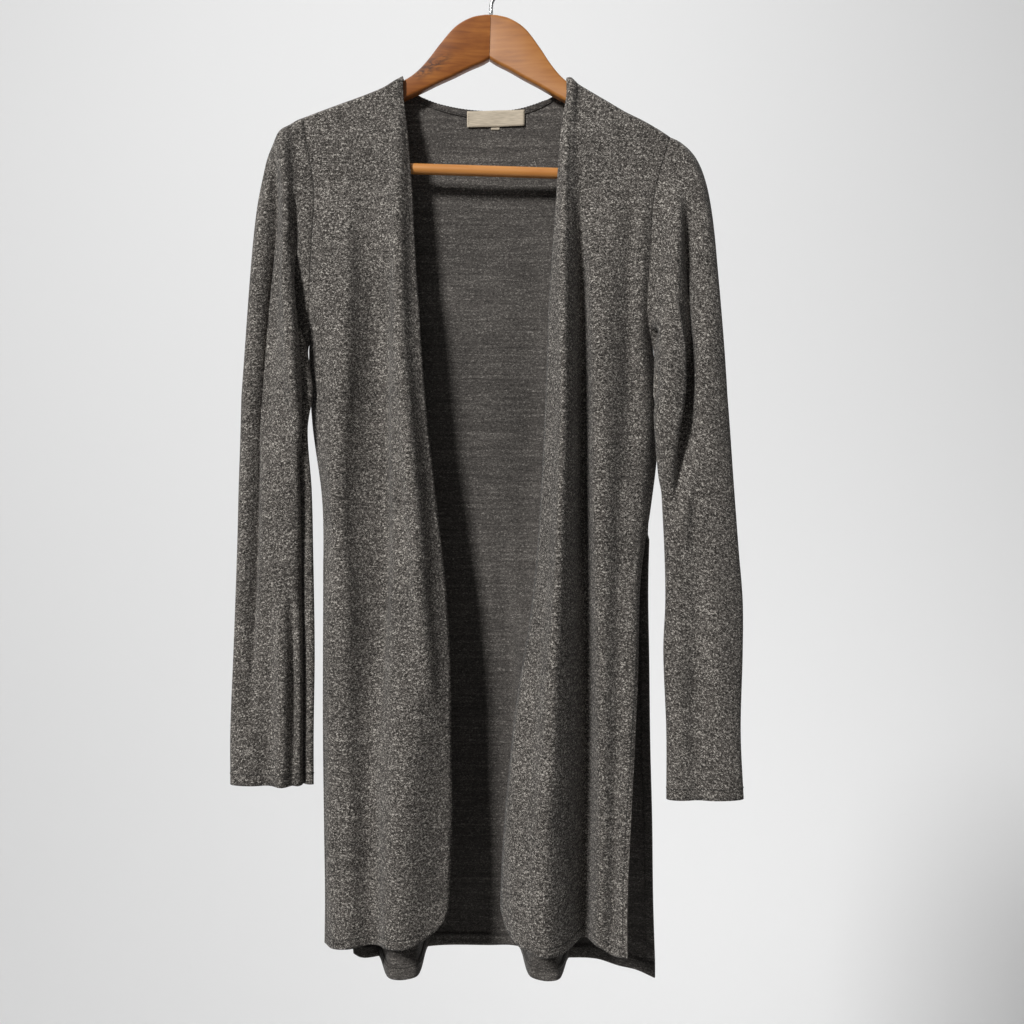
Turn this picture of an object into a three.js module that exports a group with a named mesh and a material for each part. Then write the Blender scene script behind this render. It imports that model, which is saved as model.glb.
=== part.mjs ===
// An open-front duster cardigan in grey sweater knit on a wooden hanger.
// Millimetres, +Z up. The origin is the inside crest of the hanger's hook, where it hangs.
// The front faces -Y, and +X is at the viewer's right. "right" and "left" name the wearer's sides.

import * as THREE from 'three';

// Cloth sizes
const WALL = 1.6;            // thickness of the knit
const SEAM_GAP = 0.34;       // room between two pieces at a seam
const CORNER_GAP = 2;        // the same where three pieces meet
const STRIP_WALL = 0.8;      // thickness of turned edges and of the neck band
const LAY_GAP = 0.38;        // room between a strip and the panel that it lies on
const LABEL_WALL = 0.5;

// Heights
const UNDERARM_Z = -391;
const SLIT_TOP_Z = -580;
const HEM_DEPTH = 13;

// Point counts
const ARMHOLE_ROWS = 12;     // rows from the shoulder to the underarm, also half of a sleeve's ring
const SIDE_ROWS = 4;         // rows from the underarm to the top of the slit
const SKIRT_ROWS = 10;       // rows from the top of the slit to the hem
const NECK_SHARES = [0, 0.012, 0.05, 0.17, 0.33, 0.5, 0.67, 0.83, 0.95, 0.988, 1];
const RIGHT_FRONT_SUB = 3;   // columns for each span of the right front's section
const LEFT_FRONT_SUB = 2;
const CAP_ROWS = 8;          // rows of a sleeve from the armhole to its full ring
const SLEEVE_ROWS = 14;

// Outlines are given as they look from 1.2 m in front of the garment, 558 mm below the hook.
const VIEW = { x: 21, distance: 1200 };

// The hanger, in its own frame: z is below the top of the wood, x is along the arm.
const TILT = THREE.MathUtils.degToRad(1.8);
const SWEEP = Math.tan(THREE.MathUtils.degToRad(5));
const WOOD_TOP_Z = -62;
const WOOD_WALL = 12;
const MITRE_GAP = 0.3;
const BAR = { radius: 5.35, z: -159.7, y: -16, halfLength: 183.8 };
const HOOK = { wire: 1.9, loop: 19.5, shankTop: -50 };

// Sections of the right front, from the side seam to the front edge: x as seen, y real.
const RIGHT_FRONT = {
  columns: ['side', 'turn', 'swell', 'hollow', 'ridge', 'edge'],
  rows: [
    { z: -147, x: [-190, -169, -146, -119, -98, -88], y: [-27, -25, -22, -19, -21, -17] },
    { z: -186, x: [-186, -167, -146, -119, -97, -84], y: [-27, -26, -25, -23.5, -27, -22] },
    { z: -244, x: [-177, -163, -146, -119, -98, -79], y: [-25, -27, -26, -24.5, -31, -24] },
    { z: -303, x: [-180, -166, -147, -119, -98, -76], y: [-22, -28, -28, -24, -34, -26] },
    { z: -361, x: [-182, -168, -149, -119, -97, -72], y: [-18, -26, -31, -24, -37, -29] },
    { z: -395, x: [-181, -169, -150, -119, -97, -70], y: [-8, -22, -32, -24, -38, -30] },
    { z: -468, x: [-178, -171, -155, -123, -90, -64], y: [-8, -20, -32, -22, -42, -28] },
    { z: -546, x: [-168, -163, -155, -126, -84, -55], y: [-8, -20, -30, -22, -44, -28] },
    { z: -624, x: [-167, -162, -146, -123, -77, -46], y: [-12, -23, -34, -26, -46, -30] },
    { z: -702, x: [-167, -162, -146, -121, -74, -41], y: [-14, -25, -36, -28, -48, -31] },
    { z: -780, x: [-167, -161, -146, -122, -80, -40], y: [-15, -27, -38, -31, -49, -30] },
    { z: -858, x: [-166, -160, -143, -122, -90, -39], y: [-16, -28, -39, -34, -51, -31] },
    { z: -936, x: [-165, -159, -143, -121, -96, -42], y: [-17, -29, -41, -37, -52, -34] },
    { z: -995, x: [-166, -158, -143, -121, -97, -45], y: [-18, -30, -42, -38, -52, -36] },
  ],
  hem: [-982, -982, -980, -978, -975.5, -975.5],
  corner: { from: 4, radius: 34 },
};

// Sections of the left front. Its front edge is folded back in one long roll beside a deep valley.
const LEFT_FRONT = {
  columns: ['side', 'turn', 'outer', 'inner', 'valley', 'roll wall', 'roll crest', 'edge'],
  rows: [
    { z: -147, x: [181, 160, 130, 101, 88, 84, 80, 76], y: [-27, -25, -21, -18, -17, -21, -22, -17] },
    { z: -186, x: [180, 160, 130, 101, 87, 81, 76, 70], y: [-27, -26, -24.5, -23.5, -23.2, -26, -28, -23] },
    { z: -244, x: [164, 152, 131, 102, 88, 79, 73, 66], y: [-25, -27, -25.5, -25, -24, -31, -35, -23.5] },
    { z: -303, x: [159, 150, 131, 103, 90, 80, 71, 62], y: [-22, -27, -26, -27, -22.5, -37, -43, -24] },
    { z: -361, x: [156, 148, 131, 105, 92, 80, 71, 58], y: [-18, -26, -27, -30, -21, -41, -49, -26] },
    { z: -395, x: [161, 150, 131, 106, 92, 80, 71, 57], y: [-8, -23, -27, -31, -21, -43, -51, -26] },
    { z: -468, x: [167, 156, 134, 107, 92, 80, 70, 54], y: [-6, -23, -28, -34, -21, -47, -56, -26] },
    { z: -546, x: [160, 150, 131, 107, 92, 79, 67, 50], y: [-8, -22, -28, -36, -21, -51, -61, -27] },
    { z: -624, x: [149, 144, 129, 109, 93, 77, 64, 44], y: [-19, -28, -30, -37, -22, -54, -65, -27] },
    { z: -702, x: [147, 142, 129, 111, 94, 75, 59, 34], y: [-29, -34, -32, -38, -22, -57, -69, -28] },
    { z: -780, x: [144, 138, 127, 111, 95, 74, 55, 24], y: [-37, -39, -35, -40, -23, -59, -72, -28] },
    { z: -858, x: [140, 135, 125, 111, 94, 72, 50, 15], y: [-44, -43, -38, -42, -24, -61, -74, -28] },
    { z: -936, x: [137, 133, 123, 109, 92, 72, 47, 10], y: [-50, -47, -41, -44, -25, -62, -75, -29] },
    { z: -995, x: [137, 132, 121, 107, 91, 72, 49, 12], y: [-55, -51, -44, -45, -28, -61, -74, -30] },
  ],
  hem: [-984, -985, -985, -977, -975, -977, -976, -976],
  corner: { from: 6, radius: 31 },
};

// Sections of the back, from the wearer's right side to the left, without the rolls of its hem.
const BACK = {
  columns: ['side', 'flank', 'mid right', 'middle', 'mid left', 'flank', 'side'],
  rows: [
    { z: -147, x: [-190, -161, -105, 0, 104, 149, 181], y: [-6, -2, 4, 10, 4, -1, -6] },
    { z: -186, x: [-186, -157, -105, 0, 103, 147, 180], y: [-2, 2, 6, 11, 6, 2, -2] },
    { z: -244, x: [-177, -151, -104, 0, 101, 141, 164], y: [4, 6, 9, 12, 9, 6, 4] },
    { z: -303, x: [-180, -157, -105, -2, 100, 140, 159], y: [6, 8, 11, 14, 11, 8, 6] },
    { z: -361, x: [-182, -162, -106, -5, 99, 139, 156], y: [3, 8, 13, 15, 12, 9, 3] },
    { z: -395, x: [-181, -164, -107, -6, 100, 141, 161], y: [-8, 6, 14, 16, 13, 8, -8] },
    { z: -468, x: [-178, -162, -107, -6, 108, 149, 167], y: [-8, 7, 16, 19, 15, 9, -6] },
    { z: -546, x: [-168, -151, -106, -6, 103, 144, 160], y: [-8, 10, 18, 22, 16, 8, -8] },
    { z: -627, x: [-166, -146, -104, -6, 99, 139, 157], y: [-3, 14, 22, 26, 22, 14, 2] },
    { z: -708, x: [-163, -143, -103, -4, 99, 139, 158], y: [0, 18, 26, 29, 25, 20, 8] },
    { z: -790, x: [-158, -136, -103, -3, 99, 139, 159], y: [4, 22, 30, 33, 29, 25, 14] },
    { z: -871, x: [-151, -129, -103, -3, 99, 141, 161], y: [8, 25, 34, 37, 32, 29, 20] },
    { z: -953, x: [-143, -123, -103, -3, 99, 143, 162], y: [10, 27, 37, 41, 34, 33, 26] },
    { z: -1020, x: [-135, -118, -104, -3, 99, 145, 164], y: [10, 28, 39, 44, 36, 36, 30] },
  ],
};
const BACK_HEM = {
  x: [-137, -128, -110, -90, -70, -62, 0, 28, 37, 54, 72, 104, 128, 146, 164],
  z: [-1001, -1010, -1014, -1018, -1014, -1007, -1006, -1006.5, -1014, -1018.5, -1017, -1017,
    -1024.5, -1029, -1035],
};

// The two rolls of the back's hem. They fade upwards, where they are also broader.
const ROLLS = {
  middles: [-88, 53.5],
  half: 19,
  z: [-540, -627, -708, -790, -871, -953, -1020],
  depth: [0, 7, 16, 27, 38, 50, 61],
  spread: [2.2, 1.9, 1.6, 1.4, 1.2, 1.08, 1],
};

// Shoulder lines and the back neck: x as seen, z real.
const RIGHT_SHOULDER = {
  x: [-190, -176, -156, -136, -116, -106, -96, -88],
  z: [-172, -166.4, -158.4, -150.5, -142.2, -137.8, -131.6, -126.5],
};
const LEFT_SHOULDER = {
  x: [76, 80, 84, 94, 114, 134, 154, 174, 181],
  z: [-127.8, -129, -132.3, -138.8, -151.1, -163.6, -174.1, -186.3, -191.5],
};
const BACK_NECK = {
  x: [-88, -86.5, -82, -66, -51, -31, -11, 12, 29, 44, 60, 71, 74.5, 76],
  z: [-126.5, -128.5, -134, -143, -148, -152, -154, -154, -152, -148, -142, -134.5, -129.8, -127.8],
};

// Sleeve rings: outer and inner x as seen, y of the middle, half depth, depth of the front fold,
// and how far the inner end lies forward of the outer one (skew, -Y).
const RIGHT_SLEEVE = {
  side: -1, endZ: -828, foldAt: 0.42, capOut: 47,
  rows: [
    { z: -443, outer: -249, inner: -178.5, y: -10, half: 17, fold: 6, skew: -10 },
    { z: -476, outer: -250, inner: -184, y: -9, half: 17, fold: 5, skew: -7 },
    { z: -536, outer: -252, inner: -180, y: -8, half: 16, fold: 3, skew: -2 },
    { z: -596, outer: -253.5, inner: -178.5, y: -8, half: 15, fold: 2, skew: 0 },
    { z: -696, outer: -257, inner: -177, y: -8, half: 14, fold: 4, skew: 0 },
    { z: -776, outer: -260, inner: -178, y: -8, half: 13, fold: 4, skew: 0 },
    { z: -828, outer: -260, inner: -178, y: -8, half: 12, fold: 3, skew: 0 },
  ],
};
const LEFT_SLEEVE = {
  side: 1, endZ: -842, foldAt: 0.6, capOut: 45,
  rows: [
    { z: -443, outer: 235, inner: 163, y: -12, half: 17, fold: 7, skew: -8 },
    { z: -476, outer: 238, inner: 168.5, y: -12, half: 17, fold: 6, skew: -6 },
    { z: -536, outer: 242.5, inner: 171, y: -11, half: 16, fold: 4, skew: -2 },
    { z: -596, outer: 247, inner: 174, y: -10, half: 15, fold: 2, skew: 0 },
    { z: -646, outer: 251, inner: 175, y: -10, half: 15, fold: 2, skew: 0 },
    { z: -696, outer: 251, inner: 173, y: -10, half: 14, fold: 3, skew: 0 },
    { z: -776, outer: 249, inner: 176, y: -10, half: 13, fold: 3, skew: 0 },
    { z: -842, outer: 252, inner: 176, y: -10, half: 12, fold: 2, skew: 0 },
  ],
};

// Profile of one hanger arm, z below the top of the wood.
const ARM = {
  x: [0, 6, 20, 35, 50, 60, 70, 80, 100, 120, 140, 160, 176, 184, 184.2, 192, 197, 198.5],
  top: [0, -0.4, -4.3, -14.5, -33.5, -48, -60, -68.4, -79.6, -91.4, -102.8, -113.4, -122.8,
    -128.6, -128.8, -136, -145, -152],
  bottom: [-44.5, -48.5, -55.5, -64, -71.8, -77.5, -83, -88.2, -98.5, -110, -121.5, -133, -142,
    -147, -169, -169, -166, -160],
};

const LABEL = { left: -24, right: 33.5, top: -155, height: 16, rise: 1.6 };
const SIZE_TAB = { left: 0, right: 8.5, top: -164, height: 9 };

const COLOURS = { knit: '#5a5450', inside: '#59534f', label: '#cfc3ae', wood: '#c48d58', wire: '#b9b9b6' };

// Interpolation
function slopes(keys, values) {
  const last = keys.length - 1;
  return keys.map((key, i) => {
    const a = Math.max(0, i - 1);
    const b = Math.min(last, i + 1);
    return (values[b] - values[a]) / (keys[b] - keys[a]);
  });
}

function along(keys, values, key) {
  const rising = keys[keys.length - 1] > keys[0];
  const inside = rising
    ? Math.min(Math.max(key, keys[0]), keys[keys.length - 1])
    : Math.max(Math.min(key, keys[0]), keys[keys.length - 1]);
  let i = 0;
  while (i < keys.length - 2 && (rising ? inside > keys[i + 1] : inside < keys[i + 1])) i += 1;
  const m = slopes(keys, values);
  const step = keys[i + 1] - keys[i];
  const t = (inside - keys[i]) / step;
  const a = (1 + 2 * t) * (1 - t) * (1 - t);
  const b = t * (1 - t) * (1 - t);
  const c = t * t * (3 - 2 * t);
  const d = t * t * (t - 1);
  return a * values[i] + b * step * m[i] + c * values[i + 1] + d * step * m[i + 1];
}

const mix = (a, b, t) => a + (b - a) * t;
const clamp01 = (t) => Math.min(1, Math.max(0, t));

// A point whose x is given as it looks from the front.
function seen(x, y, z) {
  const nearer = (VIEW.distance + y) / VIEW.distance;
  return new THREE.Vector3(VIEW.x + (x - VIEW.x) * nearer, y, z);
}

// The middle of the hanger's wood at a given x, and the cloth's turn over it.
const seamY = (x) => -Math.abs(x) * SWEEP;
const OVER_RADIUS = 5;
function overWood(y, x, drop) {
  const t = clamp01(drop / OVER_RADIUS);
  return mix(seamY(x), y, Math.sqrt(1 - (1 - t) * (1 - t)));
}

// Control values of a section table at a height
function section(table, z) {
  const keys = table.rows.map((row) => row.z);
  const columns = table.columns.map((name, i) => i);
  return {
    x: columns.map((i) => along(keys, table.rows.map((row) => row.x[i]), z)),
    y: columns.map((i) => along(keys, table.rows.map((row) => row.y[i]), z)),
  };
}

function sectionPoint(table, z, place) {
  const cut = section(table, z);
  const keys = cut.x.map((x, i) => i);
  return { x: along(keys, cut.x, place), y: along(keys, cut.y, place) };
}

// Row heights: close together over the shoulder and at the underarm, then even to the hem.
const armholeShare = (i) => THREE.MathUtils.smoothstep(Math.pow(i / ARMHOLE_ROWS, 1.25), 0, 1);
const ROWS = ARMHOLE_ROWS + SIDE_ROWS + SKIRT_ROWS;
function rowZ(i, topZ, hemZ) {
  if (i <= ARMHOLE_ROWS) return mix(topZ, UNDERARM_Z, armholeShare(i));
  const side = i - ARMHOLE_ROWS;
  if (side <= SIDE_ROWS) return mix(UNDERARM_Z, SLIT_TOP_Z, side / SIDE_ROWS);
  const skirt = side - SIDE_ROWS;
  if (skirt === SKIRT_ROWS) return hemZ;
  return mix(SLIT_TOP_Z, hemZ + HEM_DEPTH, skirt / (SKIRT_ROWS - 1));
}

// A front panel: columns run from the side to the front edge
function frontGrid(table, shoulder, sub) {
  const spans = table.columns.length - 1;
  const spanKeys = table.columns.map((name, i) => i);
  const { corner } = table;
  const grid = [];
  const columns = spans * sub;
  const tops = [];
  for (let j = 0; j <= columns; j += 1) {
    let z = -150;
    for (let pass = 0; pass < 5; pass += 1) {
      z = along(shoulder.x, shoulder.z, sectionPoint(table, z, j / sub).x);
    }
    tops.push(z);
  }
  for (let i = 0; i <= ROWS; i += 1) {
    const row = [];
    for (let j = 0; j <= columns; j += 1) {
      const place = j / sub;
      const round = clamp01((place - corner.from) / (spans - corner.from));
      const lift = corner.radius * (1 - Math.sqrt(1 - round * round));
      const z = rowZ(i, tops[j], along(spanKeys, table.hem, place) + lift);
      const p = sectionPoint(table, z, place);
      row.push(seen(p.x, overWood(p.y, p.x, tops[j] - z), z));
    }
    grid.push(row);
  }
  return grid;
}

const rightFront = frontGrid(RIGHT_FRONT, RIGHT_SHOULDER, RIGHT_FRONT_SUB);
const leftFront = frontGrid(LEFT_FRONT, LEFT_SHOULDER, LEFT_FRONT_SUB);

// The back meets the two fronts along the shoulders, and has the neck between them.
function rollForward(x, z) {
  const half = ROLLS.half * along(ROLLS.z, ROLLS.spread, z);
  const depth = along(ROLLS.z, ROLLS.depth, z);
  const bumps = ROLLS.middles.map((middle) => Math.exp(-Math.pow(Math.abs(x - middle) / half, 5)));
  return depth * (bumps[0] + bumps[1]);
}

function backPoint(share, z) {
  const cut = section(BACK, z);
  const x = mix(cut.x[0], cut.x[cut.x.length - 1], share);
  return { x, y: along(cut.x, cut.y, x) - rollForward(x, z) };
}

function backGrid() {
  const rightTop = RIGHT_FRONT.columns.length - 1;
  const leftTop = LEFT_FRONT.columns.length - 1;
  const tops = [];
  for (let j = 0; j <= rightTop * RIGHT_FRONT_SUB; j += 1) tops.push(topOf(rightFront, j));
  const neckLeft = BACK_NECK.x[0];
  const neckRight = BACK_NECK.x[BACK_NECK.x.length - 1];
  for (const share of NECK_SHARES.slice(1, -1)) {
    const x = mix(neckLeft, neckRight, share);
    tops.push({ x, z: along(BACK_NECK.x, BACK_NECK.z, x), shoulder: BACK_NECK.z[0] });
  }
  for (let j = leftTop * LEFT_FRONT_SUB; j >= 0; j -= 1) tops.push(topOf(leftFront, j));
  const last = tops.length - 1;
  const edgeShare = 7.5 / 330;
  const grid = [];
  for (let i = 0; i <= ROWS; i += 1) {
    const row = [];
    for (let j = 0; j <= last; j += 1) {
      const even = mix(edgeShare, 1 - edgeShare, (j - 1) / (last - 2));
      const low = j === 0 ? 0 : j === last ? 1 : even;
      const high = (tops[j].x - tops[0].x) / (tops[last].x - tops[0].x);
      const share = mix(high, low, clamp01(i / ARMHOLE_ROWS));
      const hemKeys = BACK.rows[BACK.rows.length - 1].x;
      const hemX = mix(hemKeys[0], hemKeys[hemKeys.length - 1], share);
      const hemZ = along(BACK_HEM.x, BACK_HEM.z, hemX);
      const z = rowZ(i, tops[j].z, hemZ);
      const p = backPoint(share, z);
      if (i === 0 && tops[j].point) row.push(tops[j].point.clone());
      else row.push(seen(p.x, overWood(p.y, p.x, tops[j].shoulder - z), z));
    }
    grid.push(row);
  }
  // The side edges are the fronts' own side edges down to the top of the slit.
  const closed = ARMHOLE_ROWS + SIDE_ROWS;
  for (let i = ARMHOLE_ROWS; i <= closed; i += 1) {
    grid[i][0] = rightFront[i][0].clone();
    grid[i][last] = leftFront[i][0].clone();
  }
  return grid;
}

function topOf(front, j) {
  const point = front[0][j];
  const nearer = (VIEW.distance + point.y) / VIEW.distance;
  return { x: VIEW.x + (point.x - VIEW.x) / nearer, z: point.z, shoulder: point.z, point };
}

const back = backGrid();

// A sleeve: ring 0 is the armhole, from the shoulder down its front and up its back.
function ringAt(sleeve, z) {
  const keys = sleeve.rows.map((row) => row.z);
  const value = (name) => along(keys, sleeve.rows.map((row) => row[name]), z);
  const ring = [];
  const around = ARMHOLE_ROWS * 2;
  for (let k = 0; k < around; k += 1) {
    const angle = (k / around) * Math.PI * 2;
    const cos = Math.cos(angle);
    const sin = Math.sin(angle);
    const across = Math.sign(cos) * Math.pow(Math.abs(cos), 0.8);
    const depth = Math.sign(sin) * Math.pow(Math.abs(sin), 0.75);
    const share = (1 - across) / 2;
    const fold = sin > 0 ? Math.exp(-Math.pow((share - sleeve.foldAt) / 0.13, 2)) : 0;
    const x = mix(value('outer'), value('inner'), share);
    const y = value('y') - depth * value('half') + fold * value('fold') + share * value('skew');
    ring.push(seen(x, y, z));
  }
  return ring;
}

const UNDERARM_OUT = 5;      // how far the sleeve swells out just under the arm
const UNDERARM_LEAN = -4;
const CAP_LEAN = 0.075;      // lean of the cap's outer line
function sleeveGrid(sleeve, armhole) {
  const topZ = sleeve.rows[0].z;
  const full = ringAt(sleeve, topZ);
  const rows = [];
  for (let i = 0; i < CAP_ROWS; i += 1) {
    const t = Math.pow(i / CAP_ROWS, 0.9);
    rows.push(armhole.map((start, k) => {
      const end = full[k];
      const low = k <= ARMHOLE_ROWS ? k / ARMHOLE_ROWS : 2 - k / ARMHOLE_ROWS;
      const reach = start.distanceTo(end);
      const out = mix(sleeve.capOut, UNDERARM_OUT, Math.pow(low, 0.8));
      const leave = new THREE.Vector3(sleeve.side * out, UNDERARM_LEAN * low, mix(-13.5, -9, low));
      const rise = reach * mix(0.68, 0.4, low);
      const arrive = new THREE.Vector3(-sleeve.side * CAP_LEAN * rise * (1 - low), 0, rise);
      const first = start.clone().add(leave);
      const second = end.clone().add(arrive);
      return new THREE.CubicBezierCurve3(start, first, second, end).getPoint(t);
    }));
  }
  for (let i = 0; i <= SLEEVE_ROWS; i += 1) {
    rows.push(ringAt(sleeve, mix(topZ, sleeve.endZ, i / SLEEVE_ROWS)));
  }
  return rows;
}

function armholeOf(front, backColumn) {
  const ring = [];
  for (let i = 0; i <= ARMHOLE_ROWS; i += 1) ring.push(front[i][0].clone());
  for (let i = ARMHOLE_ROWS - 1; i > 0; i -= 1) ring.push(back[i][backColumn].clone());
  return ring;
}

const lastBack = back[0].length - 1;
const rightSleeve = sleeveGrid(RIGHT_SLEEVE, armholeOf(rightFront, 0));
const leftSleeve = sleeveGrid(LEFT_SLEEVE, armholeOf(leftFront, lastBack));

// Normals of the middle surface, shared where pieces meet so that their walls meet in one plane
const key = (p) => [p.x, p.y, p.z].map((value) => value.toFixed(2)).join(' ');

function gridNormals(panel) {
  const { grid, ring, flip } = panel;
  const rows = grid.length;
  const columns = grid[0].length;
  return grid.map((row, i) => row.map((p, j) => {
    const left = ring ? (j + columns - 1) % columns : Math.max(0, j - 1);
    const right = ring ? (j + 1) % columns : Math.min(columns - 1, j + 1);
    const up = grid[Math.max(0, i - 1)][j];
    const down = grid[Math.min(rows - 1, i + 1)][j];
    const across = grid[i][right].clone().sub(grid[i][left]);
    const along_ = down.clone().sub(up);
    const normal = across.cross(along_).normalize();
    return flip ? normal.negate() : normal;
  }));
}

// Every panel's normals point out of the garment.
const panels = {
  right_front: { grid: rightFront, flip: true },
  left_front: { grid: leftFront, flip: false },
  back: { grid: back, flip: false },
  right_sleeve: { grid: rightSleeve, ring: true, flip: true },
  left_sleeve: { grid: leftSleeve, ring: true, flip: false },
};

const shared = new Map();
for (const panel of Object.values(panels)) {
  panel.normals = gridNormals(panel);
  panel.grid.forEach((row, i) => row.forEach((p, j) => {
    const name = key(p);
    if (!shared.has(name)) shared.set(name, []);
    shared.get(name).push(panel.normals[i][j]);
  }));
}

// The step from the middle surface to the outer face of every wall that meets at a point:
// it stands as far out of each of them, so their walls meet in one plane.
const MITRE_PASSES = 60;
const MITRE_LIMIT = 3;
function mitre(p) {
  const all = shared.get(key(p));
  const step = new THREE.Vector3();
  for (let pass = 0; pass < MITRE_PASSES; pass += 1) {
    all.forEach((normal) => step.addScaledVector(normal, 1 - normal.dot(step)));
  }
  return step.clampLength(0, MITRE_LIMIT);
}

function pullBack(panel, i, j) {
  const { grid, ring } = panel;
  const rows = grid.length - 1;
  const columns = grid[0].length - 1;
  const move = new THREE.Vector3();
  const meeting = shared.get(key(grid[i][j])).length;
  if (meeting < 2) return move;
  const reach = (meeting > 2 ? CORNER_GAP : SEAM_GAP) / 2;
  const toward = (a, b) => grid[a][b].clone().sub(grid[i][j]).setLength(reach);
  if (i === 0) move.add(toward(1, j));
  if (i === rows) move.add(toward(rows - 1, j));
  if (!ring && j === 0) move.add(toward(i, 1));
  if (!ring && j === columns) move.add(toward(i, columns - 1));
  return move;
}

// Offset copies of a panel's points: distance is along the outward normal
function moved(panel, distance) {
  return panel.grid.map((row, i) => row.map((p, j) => {
    return p.clone().addScaledVector(mitre(p), distance).add(pullBack(panel, i, j));
  }));
}

// A closed wall between two grids of points
function wallGeometry(outer, inner, ring) {
  const rows = outer.length;
  const columns = outer[0].length;
  const points = [];
  const index = [];
  [outer, inner].forEach((grid) => grid.forEach((row) => row.forEach((p) => points.push(p.x, p.y, p.z))));
  const at = (side, i, j) => side * rows * columns + i * columns + (ring ? j % columns : j);
  const quad = (a, b, c, d) => index.push(a, b, c, a, c, d);
  const spans = ring ? columns : columns - 1;
  for (let i = 0; i < rows - 1; i += 1) {
    for (let j = 0; j < spans; j += 1) {
      quad(at(0, i, j), at(0, i, j + 1), at(0, i + 1, j + 1), at(0, i + 1, j));
      index.push(at(1, i, j), at(1, i + 1, j + 1), at(1, i, j + 1));
      index.push(at(1, i, j), at(1, i + 1, j), at(1, i + 1, j + 1));
    }
  }
  for (let j = 0; j < spans; j += 1) {
    quad(at(1, 0, j), at(1, 0, j + 1), at(0, 0, j + 1), at(0, 0, j));
    quad(at(0, rows - 1, j), at(0, rows - 1, j + 1), at(1, rows - 1, j + 1), at(1, rows - 1, j));
  }
  if (!ring) {
    for (let i = 0; i < rows - 1; i += 1) {
      quad(at(1, i, 0), at(0, i, 0), at(0, i + 1, 0), at(1, i + 1, 0));
      quad(at(0, i, columns - 1), at(1, i, columns - 1), at(1, i + 1, columns - 1),
        at(0, i + 1, columns - 1));
    }
  }
  const geometry = new THREE.BufferGeometry();
  geometry.setAttribute('position', new THREE.Float32BufferAttribute(points, 3));
  geometry.setIndex(index);
  return facingOut(geometry);
}

// Turns the faces round where the solid comes out inside out
function facingOut(geometry) {
  const p = geometry.attributes.position;
  const index = geometry.index.array;
  const [a, b, c] = [new THREE.Vector3(), new THREE.Vector3(), new THREE.Vector3()];
  let volume = 0;
  for (let i = 0; i < index.length; i += 3) {
    a.fromBufferAttribute(p, index[i]);
    b.fromBufferAttribute(p, index[i + 1]);
    c.fromBufferAttribute(p, index[i + 2]);
    volume += a.dot(b.cross(c));
  }
  if (volume < 0) {
    for (let i = 0; i < index.length; i += 3) [index[i + 1], index[i + 2]] = [index[i + 2], index[i + 1]];
  }
  geometry.computeVertexNormals();
  return geometry;
}

const cardigan = new THREE.Group();
const knit = new THREE.MeshStandardMaterial({ color: COLOURS.knit, roughness: 0.95, metalness: 0 });
const knitInside = new THREE.MeshStandardMaterial({ color: COLOURS.inside, roughness: 0.95, metalness: 0 });

function add(name, geometry, material) {
  const mesh = new THREE.Mesh(geometry, material);
  mesh.name = name;
  cardigan.add(mesh);
  return mesh;
}

for (const [name, panel] of Object.entries(panels)) {
  const geometry = wallGeometry(moved(panel, WALL / 2), moved(panel, -WALL / 2), panel.ring);
  add(name, geometry, knit);
}

// Strips on the inside of the back: each takes the back's own points, moved inwards
function stripOnBack(name, rows, columns) {
  const near = -(WALL / 2 + LAY_GAP);
  const cut = (grid) => grid.slice(rows[0], rows[1] + 1).map((row) => row.slice(columns[0], columns[1] + 1));
  const outer = cut(moved(panels.back, near));
  const inner = cut(moved(panels.back, near - STRIP_WALL));
  add(name, wallGeometry(outer, inner, false), knitInside);
}

const slitRow = ARMHOLE_ROWS + SIDE_ROWS;
const neckFrom = (RIGHT_FRONT.columns.length - 1) * RIGHT_FRONT_SUB;
stripOnBack('back_hem_turn', [ROWS - 1, ROWS], [0, lastBack]);
stripOnBack('right_slit_turn', [slitRow + 1, ROWS - 2], [0, 1]);
stripOnBack('left_slit_turn', [slitRow + 1, ROWS - 2], [lastBack - 1, lastBack]);
stripOnBack('back_neck_band', [0, 2], [neckFrom + 3, neckFrom + NECK_SHARES.length - 4]);

// Flat sewn labels in front of the back's inside
function labelGeometry(size, offset) {
  const lean = size.rise ?? 0;
  const columns = 8;
  const rows = 3;
  const face = (extra) => {
    const grid = [];
    for (let i = 0; i <= rows; i += 1) {
      const row = [];
      for (let j = 0; j <= columns; j += 1) {
        const x = mix(size.left, size.right, j / columns);
        const z = size.top - (size.height * i) / rows + lean * (j / columns);
        const across = section(BACK, z).x;
        const share = (x - across[0]) / (across[across.length - 1] - across[0]);
        row.push(seen(x, backPoint(share, z).y - offset - extra, z));
      }
      grid.push(row);
    }
    return grid;
  };
  return wallGeometry(face(LABEL_WALL), face(0), false);
}

const linen = new THREE.MeshStandardMaterial({ color: COLOURS.label, roughness: 0.9, metalness: 0 });
const overPanel = WALL / 2 + LAY_GAP;
add('neck_label', labelGeometry(LABEL, overPanel + STRIP_WALL + LAY_GAP + 0.4), linen);
add('size_tab', labelGeometry(SIZE_TAB, overPanel + 0.1), linen);

// The hanger
const wood = new THREE.MeshStandardMaterial({ color: COLOURS.wood, roughness: 0.5, metalness: 0 });
const hanger = new THREE.Group();
hanger.position.set(0, 0, WOOD_TOP_Z);
hanger.rotation.set(0, TILT, 0);
cardigan.add(hanger);

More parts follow.
